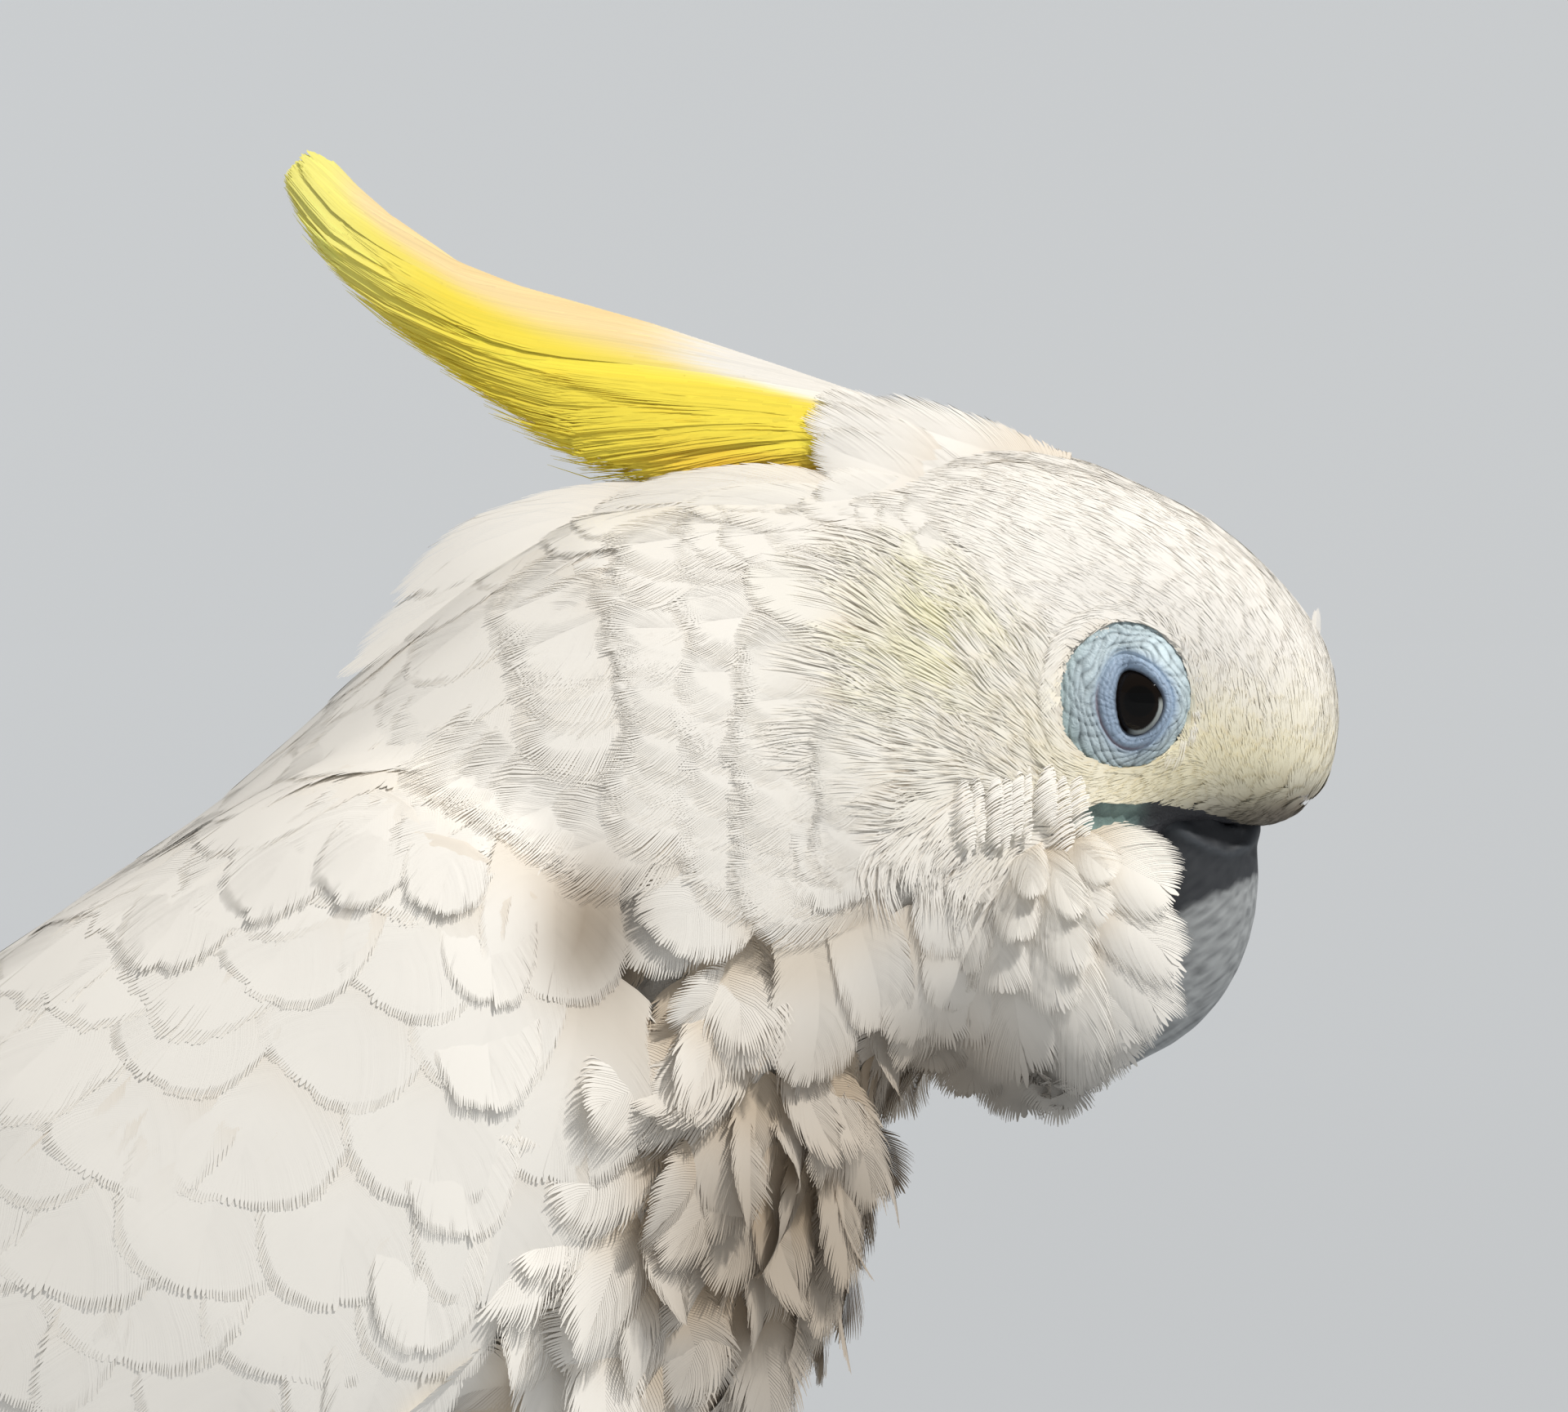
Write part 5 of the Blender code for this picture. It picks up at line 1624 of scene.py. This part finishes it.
def loose_feathers(rng):
    """The feathers that fill in under the crest and stand off the nape, and the point at the forehead."""
    # places, normal, half width
    rows = [
        ([(-52, -6, 27), (-68, -6, 28.5), (-84, -5.5, 27.5), (-99, -4.5, 22.5), (-107.2, -3.5, 15.2)],
         (-0.35, -0.80, 0.48), 6.0),
        ([(-58, -9, 23), (-76, -9, 23.5), (-92, -8, 19.5), (-105, -6.5, 13.0), (-115.2, -5, 5.4)],
         (-0.40, -0.78, 0.50), 5.6),
        ([(-56, 8, 25), (-78, 9, 24.5), (-94, 8, 19), (-106, 7, 11)], (-0.40, 0.70, 0.60), 6.0),
        ([(24.2, -2, 6.5), (25.6, -2, 10.2), (25.7, -2, 13.6)], (0.55, -0.83, 0.05), 0.9),
    ]
    for side, _ in SIDES:
        mirror = np.array([1, side, 1])
        rows += [(np.array(places) * mirror, np.array(normal) * mirror, half) for places, normal, half in (
            ([(-50, 4, 27), (-64, 4, 30.5), (-78, 4, 28), (-90, 4, 22)], (-0.3, 0.35, 0.85), 7.0),
            ([(-30, 13, 24), (-44, 12.5, 29.5), (-58, 10.5, 30.8), (-72, 8.5, 28.6), (-82, 7, 24.5)],
             (-0.08, 0.80, 0.58), 6.4),
            ([(-24, 15, 20), (-40, 15.5, 25.5), (-54, 14, 27.5), (-67, 12.5, 26.0)],
             (-0.05, 0.88, 0.46), 6.4),
            ([(-20, 15, 22), (-33, 14.6, 27.5), (-46, 13, 31.3)], (-0.02, 0.88, 0.46), 5.4),
        )]
    set_rows("coat_nape_loose", rows, 0.03, rng, barbs=84, fray=1.2, base=0.04, squareness=0.72)


def set_rows(name, rows, camber, rng, **shape):
    """Feathers given one by one, each as the places of its shaft, its normal and its half width."""
    shaft = np.stack([places if len(places) == STEPS + 1 else course(places) for places, _, _ in rows])
    normal = np.repeat(unit(np.array([n for _, n, _ in rows]))[:, None], STEPS + 1, 1)
    half_width = np.array([half for _, _, half in rows])
    lay_vanes(name, shaft, normal, half_width, "wing", rng, camber=camber, **shape)


loose_feathers(rng)


def crown_out(flat, side):
    """How far out the crown and the crest's base lie, at places of the side view."""
    f, u = flat[..., 0], flat[..., 1]
    ridge = np.array([outline.height(a, 0) for a in f.ravel()]).reshape(f.shape)
    crown = np.where(u < ridge - 0.2, outline.from_side(flat, side)[..., 1] * side, 0)
    c = np.interp(-f, -CREST_TOP[:, 0], CREST_KNOTS)
    top, low = np.interp(c, CREST_KNOTS, CREST_TOP[:, 1]), np.interp(c, CREST_KNOTS, CREST_LOW[:, 1])
    b = (top - u) / (top - low)
    crest = np.interp(c, CREST_KNOTS, CREST_THICK) * crest_bulge(b) + 1.0
    return np.maximum(crown, np.where((b > -0.1) & (b < 1.1) & (c > 0.05), crest, 0))


# tips in the side view, half width, how far they lie over the rest
CREST_COVERTS = (
    (-39.0, 42.2, 4.6, 0.3), (-38.5, 37.0, 4.8, 0.2), (-38.0, 32.6, 4.2, 0.2), (-46.5, 44.0, 3.6, 0.5),
    (-45.2, 35.6, 4.0, 0.5), (-48.0, 41.4, 4.4, 0.8), (-48.6, 38.2, 4.6, 1.0),
)
CREST_COVERT_LENGTH = 30


def crest_covert(side, f, u, half, over, rng):
    """One long smooth feather of the hind crown, as a grid of points and the way each faces."""
    t, v = np.linspace(0, 1, STEPS + 1)[:, None], np.linspace(-1, 1, 5)
    turn = math.radians(161 + rng.normal(0, 1.5))
    ahead, square = np.array([math.cos(turn), math.sin(turn)]), np.array([-math.sin(turn), math.cos(turn)])
    back = (1 - t[..., None]) * CREST_COVERT_LENGTH * ahead
    flat = np.array([f, u]) - back + (v * half)[:, None] * square
    out = crown_out(flat, side)
    for _ in range(3):
        out = relaxed(relaxed(out), axis=1)
    out = np.maximum(out + over * smooth(t * 1.6) - 1.3 * (1 - t) ** 2 - 0.4 * v**2, 0.3)
    sheet = np.stack([flat[..., 0], side * out, flat[..., 1]], -1)
    face = np.cross(np.gradient(sheet, axis=0), np.gradient(sheet, axis=1))
    return sheet, unit(face * np.sign(face[..., 1:2] * side + 1e-6)), half


def crest_coverts(rng):
    """The white feathers that cover the crest's base with a rounded end."""
    made = [crest_covert(side, *row, rng) for side, _ in SIDES for row in CREST_COVERTS]
    sheets, faces, half_width = (np.array(column) for column in zip(*made))
    lay_vanes("crest_coverts", sheets[:, :, 2], faces[:, :, 2], half_width, "contour", rng,
              camber=0.0, sheet=(sheets, faces), barbs=72, fray=1.2, base=0.04, squareness=0.75)


crest_coverts(rng)


# ---------------------------------------------------------------- wings

# rows of the folded wing, from its lower edge up: how many feathers, and for the first and the last of them
# the distance down the wing and the share of its width at the root, the same at the tip, the half width and
# the depth; then how the row's feathers bow, and their camber
WING_ROWS = (
    ("primaries", 9, (110, 120), (0.12, 0.40), (288, 200), (0.34, 0.60),
     (7.5, 9.5), (2.0, 1.5), -0.03, 0.006),
    ("secondaries", 9, (96, 108), (0.16, 0.80), (206, 190), (0.20, 0.86),
     (10.5, 11.5), (1.5, 0.9), -0.02, 0.008),
    ("greater_coverts", 9, (84, 104), (0.16, 0.84), (150, 144), (0.12, 0.86),
     (10.5, 11.5), (0.8, 0.4), -0.02, 0.010),
    ("tertials", 4, (112, 116), (0.55, 0.88), (226, 204), (0.62, 0.86),
     (12.0, 11.0), (0.5, 0.3), -0.02, 0.010),
)


def flight_row(side, count, *measures, rng):
    """Shafts, normals, half widths and camber of one row of WING_ROWS."""
    *pairs, bow, camber = measures
    k = np.linspace(0, 1, count)
    down0, share0, down1, share1, half, sink = (first + (last - first) * k for first, last in pairs)
    end = wings.at(down1, share1) + rng.normal(0, 0.8, (count, 2))
    shaft, normal = laid(side, wings.at(down0, share0), end, 2.0, 0.0, bow)
    half = half * (1 + 0.03 * rng.normal(0, 1, count))
    return shaft - normal * sink[:, None, None], normal, half, camber


def flight_feathers(side, word, rng):
    """The long feathers of the folded wing and the greater coverts over them."""
    rows = {name: flight_row(side, *measures, rng=rng) for name, *measures in WING_ROWS}
    for name in ("primaries", "secondaries", "tertials", "greater_coverts"):
        shaft, normal, half, camber = rows[name]
        lay_vanes(f"wing_{name}_{word}", shaft, normal, half, "wing", rng, camber=camber,
                  barbs=110, fray=0.5, squareness=0.8, base=0.03)


COVERT_ROWS, COVERT_COLUMNS = 9, 10
COVERT_STEP = (18.5, 13.0)  # backward in a row, and down from row to row


def wing_coverts(side, word, rng):
    """The small and middle coverts in staggered rows, smooth and broad, with thin dark gaps at their tips."""
    places = []
    for row in range(COVERT_ROWS):
        for column in range(COVERT_COLUMNS):
            f = -84 - COVERT_STEP[0] * (column + 0.5 * (row % 2)) + 0.6 * row
            places.append((f + rng.normal(0, 1.3), -30 - COVERT_STEP[1] * row + rng.normal(0, 1.2)))
    on = outline.from_side(np.array(places), side)
    down = wings.split(on)[0]
    roots = on[on_wing(on) & (down < 118) & (down > 8)]
    count, up = len(roots), roots[:, 2]
    length = np.interp(up, [-110, -50, -30], [38, 34, 28]) * (1 + 0.06 * rng.normal(0, 1, count))
    half = np.interp(up, [-110, -60, -30], [15.5, 14.5, 11.5]) * (1 + 0.05 * rng.normal(0, 1, count))
    _, normal = outline.nearest(roots)
    roots = roots - flattened(wing_lie(roots), normal) * (length * 0.55)[:, None]
    lift = 0.01 + 0.05 * np.abs(rng.normal(0, 1, count))
    shaft, normal = follow(outline, roots, length, 0.4, lift, 0.05, rng, lie_of=wing_lie)
    lay_vanes(f"wing_coverts_{word}", shaft, normal, half, "wing", rng, roots=roots,
              barbs=96, fray=0.55, squareness=0.72, draped=True)


# the wings' inner feathers: forward and outward at the root and at the tip, half width,
# how far the tip stands off
INNER_FEATHERS = (
    (-158, 10, -236, 3.5, 11.0, 0.6), (-172, 19, -250, 7.5, 11.0, 1.2),
    (-184, 27, -262, 12.5, 10.5, 1.6), (-150, 20, -222, 10, 11.0, 2.2),
)
ROOT_DEPTH = 4.5  # how far their roots dip under the feathers before them


def back_feathers(rng):
    """The inner feathers of both wings that meet over the rump, and the coverts under the tail's root."""
    rows = []
    t = np.linspace(0, 1, STEPS + 1)
    for side, _ in SIDES:
        for f0, s0, f1, s1, half, rise in INNER_FEATHERS:
            f, s = f0 + (f1 - f0) * t, side * (s0 + (s1 - s0) * t + 2 * np.sin(t * math.pi))
            up = relaxed(np.array([outline.height(a, b, -150.0) for a, b in zip(f, s)]), 6)
            shaft = np.stack([f, s, up + rise - (rise + ROOT_DEPTH) * (1 - t) ** 1.6], -1)
            rows.append((shaft, np.array([-0.62, side * 0.22, 0.75]), half))
        for s in (3, 9, 15):
            out = side * s
            places = [(-196, out, -152), (-222, out, -159.5), (-246, out * 0.9, -166),
                      (-266 + s, out * 0.8, -172.5)]
            rows.append((places, np.array([-0.3, out * 0.03, -0.95]), 9.0))
    set_rows("coat_rump", rows, 0.012, rng, barbs=90, fray=0.6, base=0.03)


for side, word in SIDES:
    flight_feathers(side, word, rng)
    wing_coverts(side, word, rng)
back_feathers(rng)


# ---------------------------------------------------------------- tail

TAIL_ROOT = (-204.0, -119.5)  # forward and up, under the wings' ends
TAIL_LENGTH = 158.0
TAIL_SLOPE = math.radians(31.8)
TAIL_HALF_WIDTH = (5, 20)  # between the outermost shafts at the root and at the tip
TAIL_FEATHERS = 12


def make_tail(rng):
    """Twelve broad feathers with square ends, the middle ones on top."""
    run = np.array([-math.cos(TAIL_SLOPE), 0, -math.sin(TAIL_SLOPE)])
    rise = np.array([-math.sin(TAIL_SLOPE), 0, math.cos(TAIL_SLOPE)])
    k = np.array([-1, -0.82, -0.64, -0.46, -0.28, -0.1, 0.1, 0.28, 0.46, 0.64, 0.82, 1.0])
    t = np.linspace(0, 1, STEPS + 1)
    length = TAIL_LENGTH * (1 - 0.035 * k**2) + rng.normal(0, 0.8, TAIL_FEATHERS)
    narrow, wide = TAIL_HALF_WIDTH
    side = np.outer(k, narrow + (wide - narrow) * t**0.9)
    drop = 0.006 * side**2 + 1.9 * np.abs(k)[:, None] + 0.25 * (k > 0)[:, None]
    shaft = np.array([TAIL_ROOT[0], 0, TAIL_ROOT[1]]) + run * (length[:, None] * t)[..., None]
    shaft = shaft + np.array([0, 1.0, 0]) * side[..., None] + rise * (2.2 - drop - 1.3 * (1 - t))[..., None]
    tilt = unit(rise + np.array([0, 0.16, 0]) * k[:, None])
    normal = np.repeat(tilt[:, None], STEPS + 1, 1)
    lay_vanes("tail_feathers", shaft, normal, np.full(TAIL_FEATHERS, 12.0), "wing", rng,
              camber=0.008, barbs=130, fray=0.25, squareness=0.55, base=0.10, replaces=["tail"])


make_tail(rng)


# ---------------------------------------------------------------- bill, legs and claws


def refined(name, levels):
    """A CAD solid's surface, welded and subdivided, as points in bird axes, normals and quads."""
    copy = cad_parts[name].copy()
    copy.data = copy.data.copy()
    copy.modifiers.clear()
    bpy.context.scene.collection.objects.link(copy)
    edit = bmesh.new()
    edit.from_mesh(copy.data)
    bmesh.ops.remove_doubles(edit, verts=edit.verts, dist=1e-5)
    bmesh.ops.join_triangles(edit, faces=edit.faces, angle_face_threshold=1.2, angle_shape_threshold=1.2)
    for face in edit.faces:
        face.smooth = True
    edit.to_mesh(copy.data)
    edit.free()
    finer = copy.modifiers.new("finer", "SUBSURF")
    finer.levels = finer.render_levels = levels
    graph = bpy.context.evaluated_depsgraph_get()
    made = bpy.data.meshes.new_from_object(copy.evaluated_get(graph), depsgraph=graph)
    made.transform(copy.matrix_world)
    bpy.data.objects.remove(copy)
    normals = unplace_directions(np.array([v.normal for v in made.vertices]))
    return unplace([v.co for v in made.vertices]), normals, np.array([p.vertices[:] for p in made.polygons])


# lines of the side view: the lower edge of the bare skin over the bill, and the upper bill's cutting edge
CERE = np.array([
    (-3, -18.6), (1, -18.6), (5.2, -19.2), (9.2, -20.9), (12.6, -22.1), (15.1, -21.1), (17.6, -18.3),
])
CUTTING_EDGE = np.array([(-9, -24), (-3, -33), (1, -42), (-1, -48), (-5.7, -53.8)])
BILL_HEADING = (0.83, 0.55)  # forward and up along the streaks of the horn
HORN_DUSTY = np.array([0.385, 0.40, 0.405])
HORN_DARK = np.array([0.014, 0.016, 0.021])
CERE_EDGE_LIGHT = np.array([0.02, 0.024, 0.028])


def make_upper_bill():
    points, normals, quads = refined("bill_upper", 3)
    flat = points[:, [0, 2]]
    gap, above, _, _ = beside_line(flat, CERE)
    edge_gap = beside_line(flat, CUTTING_EDGE)[0]
    on_cere = smooth((above + 0.2) / 0.8)
    ridge = np.exp(-((gap / 0.75) ** 2))
    wrinkle = ripple(14, *(points * 1.6).T)
    nostril = spot(points, 12.6, -17.6, 1.5, 1.1)
    growth = np.sin(edge_gap * 2.4 + ripple(15, *(flat * 0.3).T))
    high = 0.75 * ridge + 0.14 * wrinkle * on_cere - 1.0 * nostril + 0.025 * growth * (1 - on_cere)
    points = points + normals * high[:, None]
    points[:, 2] += 0.9 * np.clip(points[:, 2] + 20.2, 0, 9)  # the horn runs up under the brow
    f, out, u = points.T
    along_bill = f * BILL_HEADING[0] + u * BILL_HEADING[1]
    across = f * BILL_HEADING[1] - u * BILL_HEADING[0]
    streak = ripple(16, across * 3.0, along_bill * 0.5, out) + ripple(17, across * 1.1, along_bill * 1.4, out)
    edge_gap = beside_line(points[:, [0, 2]], CUTTING_EDGE)[0]
    share = np.clip(0.78 + 0.20 * streak, 0, 1) * smooth((edge_gap - 0.8) / 2.5)
    # painted shadow: the brow's cast shadow is painted on the horn below a slanting line, taking the dust off
    # it
    brow_shadow_share = smooth((u + 31.2 - 0.46 * (f - 4.8) + 0.4 * streak) / 1.1)
    tint = mix(mix(HORN_DARK, HORN_DUSTY, share * (1 - 0.93 * brow_shadow_share)), HORN_DARK * 0.8, on_cere)
    tint = tint + CERE_EDGE_LIGHT * (ridge * 0.9)[:, None]
    mesh_object("bill_upper_horn", points, quads, bill_paint, None, tint, ["bill_upper"])


def make_lower_bill():
    points, _, quads = refined("bill_lower", 2)
    tint = np.tile(HORN_DARK, (len(points), 1))
    mesh_object("bill_lower_horn", points, quads, bill_paint, None, tint, ["bill_lower"])


def make_leg_piece(name):
    """A shank, foot or claw, spread a little from its middle so that the pieces meet."""
    points, _, quads = refined(name, 2)
    is_claw = name.startswith("claw")
    paint, slot, spread = (claw_paint, "claw", 0.10) if is_claw else (scale_paint, "scale", 0.02)
    points[:, :2] += (points - points.mean(axis=0))[:, :2] * spread
    mesh_object(f"{name}_fine", points, quads, paint, None, None, [name])


make_upper_bill()
make_lower_bill()
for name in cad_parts:
    if name.startswith(("foot", "shank", "claw")):
        make_leg_piece(name)


# ---------------------------------------------------------------- light, floor and camera

FRAME_WIDTH = 228.6  # mm across the picture at the bird
VIEW_CENTRE = (-51.9, -0.5)  # forward and up
CAMERA_AWAY = 2000.0
SENSOR = 36.0
LIGHT_AWAY = 3.0  # metres
# the floor from its middle outwards, in metres: flat, then swept up into a wall far outside every view
FLOOR_PROFILE = ((3.0, 0.0), (6.0, 0.0), (7.5, 0.25), (8.6, 0.8), (9.4, 1.7), (9.9, 3.0), (10.1, 5.0))
FLOOR_SPOKES = 96


def floor():
    points = [(0.0, 0.0, 0.0)]
    for radius, high in FLOOR_PROFILE:
        for j in range(FLOOR_SPOKES):
            turn = 2 * math.pi * j / FLOOR_SPOKES
            points.append((radius * math.cos(turn), radius * math.sin(turn), high))
    faces = []
    for j in range(FLOOR_SPOKES):
        beside = (j + 1) % FLOOR_SPOKES
        faces.append((0, 1 + j, 1 + beside))
        for k in range(len(FLOOR_PROFILE) - 1):
            a, b = 1 + k * FLOOR_SPOKES, 1 + (k + 1) * FLOOR_SPOKES
            faces.append((a + j, b + j, b + beside, a + beside))
    mesh = bpy.data.meshes.new("floor")
    mesh.from_pydata(points, [], faces)
    mesh.shade_smooth()
    pale = material("floor", (0.28, 0.29, 0.30), 0.9)
    shader = pale.node_tree.nodes["Principled BSDF"]
    shader.inputs["Emission Color"].default_value = (0.56, 0.585, 0.61, 1)
    shader.inputs["Emission Strength"].default_value = 0.45
    mesh.materials.append(pale)
    made = bpy.data.objects.new("floor", mesh)
    bpy.context.scene.collection.objects.link(made)


def key_light():
    """Sunlight from ahead and above, on the bird's right."""
    data = bpy.data.lights.new("key", "SUN")
    data.energy = 2.64
    data.color = (1.0, 0.98, 0.945)
    data.angle = math.radians(3.5)
    made = bpy.data.objects.new("key", data)
    direction = Vector((-0.60, -0.60, 0.92)).normalized()
    made.location = Vector((0, -0.05, 0.2)) + direction * LIGHT_AWAY
    made.rotation_euler = direction.to_track_quat("Z", "Y").to_euler()
    bpy.context.scene.collection.objects.link(made)


def soft_light():
    world = bpy.data.worlds.new("studio")
    bpy.context.scene.world = world
    world.use_nodes = True
    world.node_tree.nodes["Background"].inputs["Color"].default_value = (1.0, 0.965, 0.915, 1)
    world.node_tree.nodes["Background"].inputs["Strength"].default_value = 0.345


def side_camera():
    """Square on to the bird's right side."""
    data = bpy.data.cameras.new("camera")
    data.sensor_width = SENSOR
    data.lens = SENSOR * CAMERA_AWAY / FRAME_WIDTH
    made = bpy.data.objects.new("camera", data)
    made.location = place([VIEW_CENTRE[0], -CAMERA_AWAY, VIEW_CENTRE[1]])
    made.rotation_euler = (math.pi / 2, 0, -math.pi / 2)
    bpy.context.scene.collection.objects.link(made)
    bpy.context.scene.camera = made


floor()
key_light()
soft_light()
side_camera()
bpy.context.scene.view_settings.view_transform = "Standard"
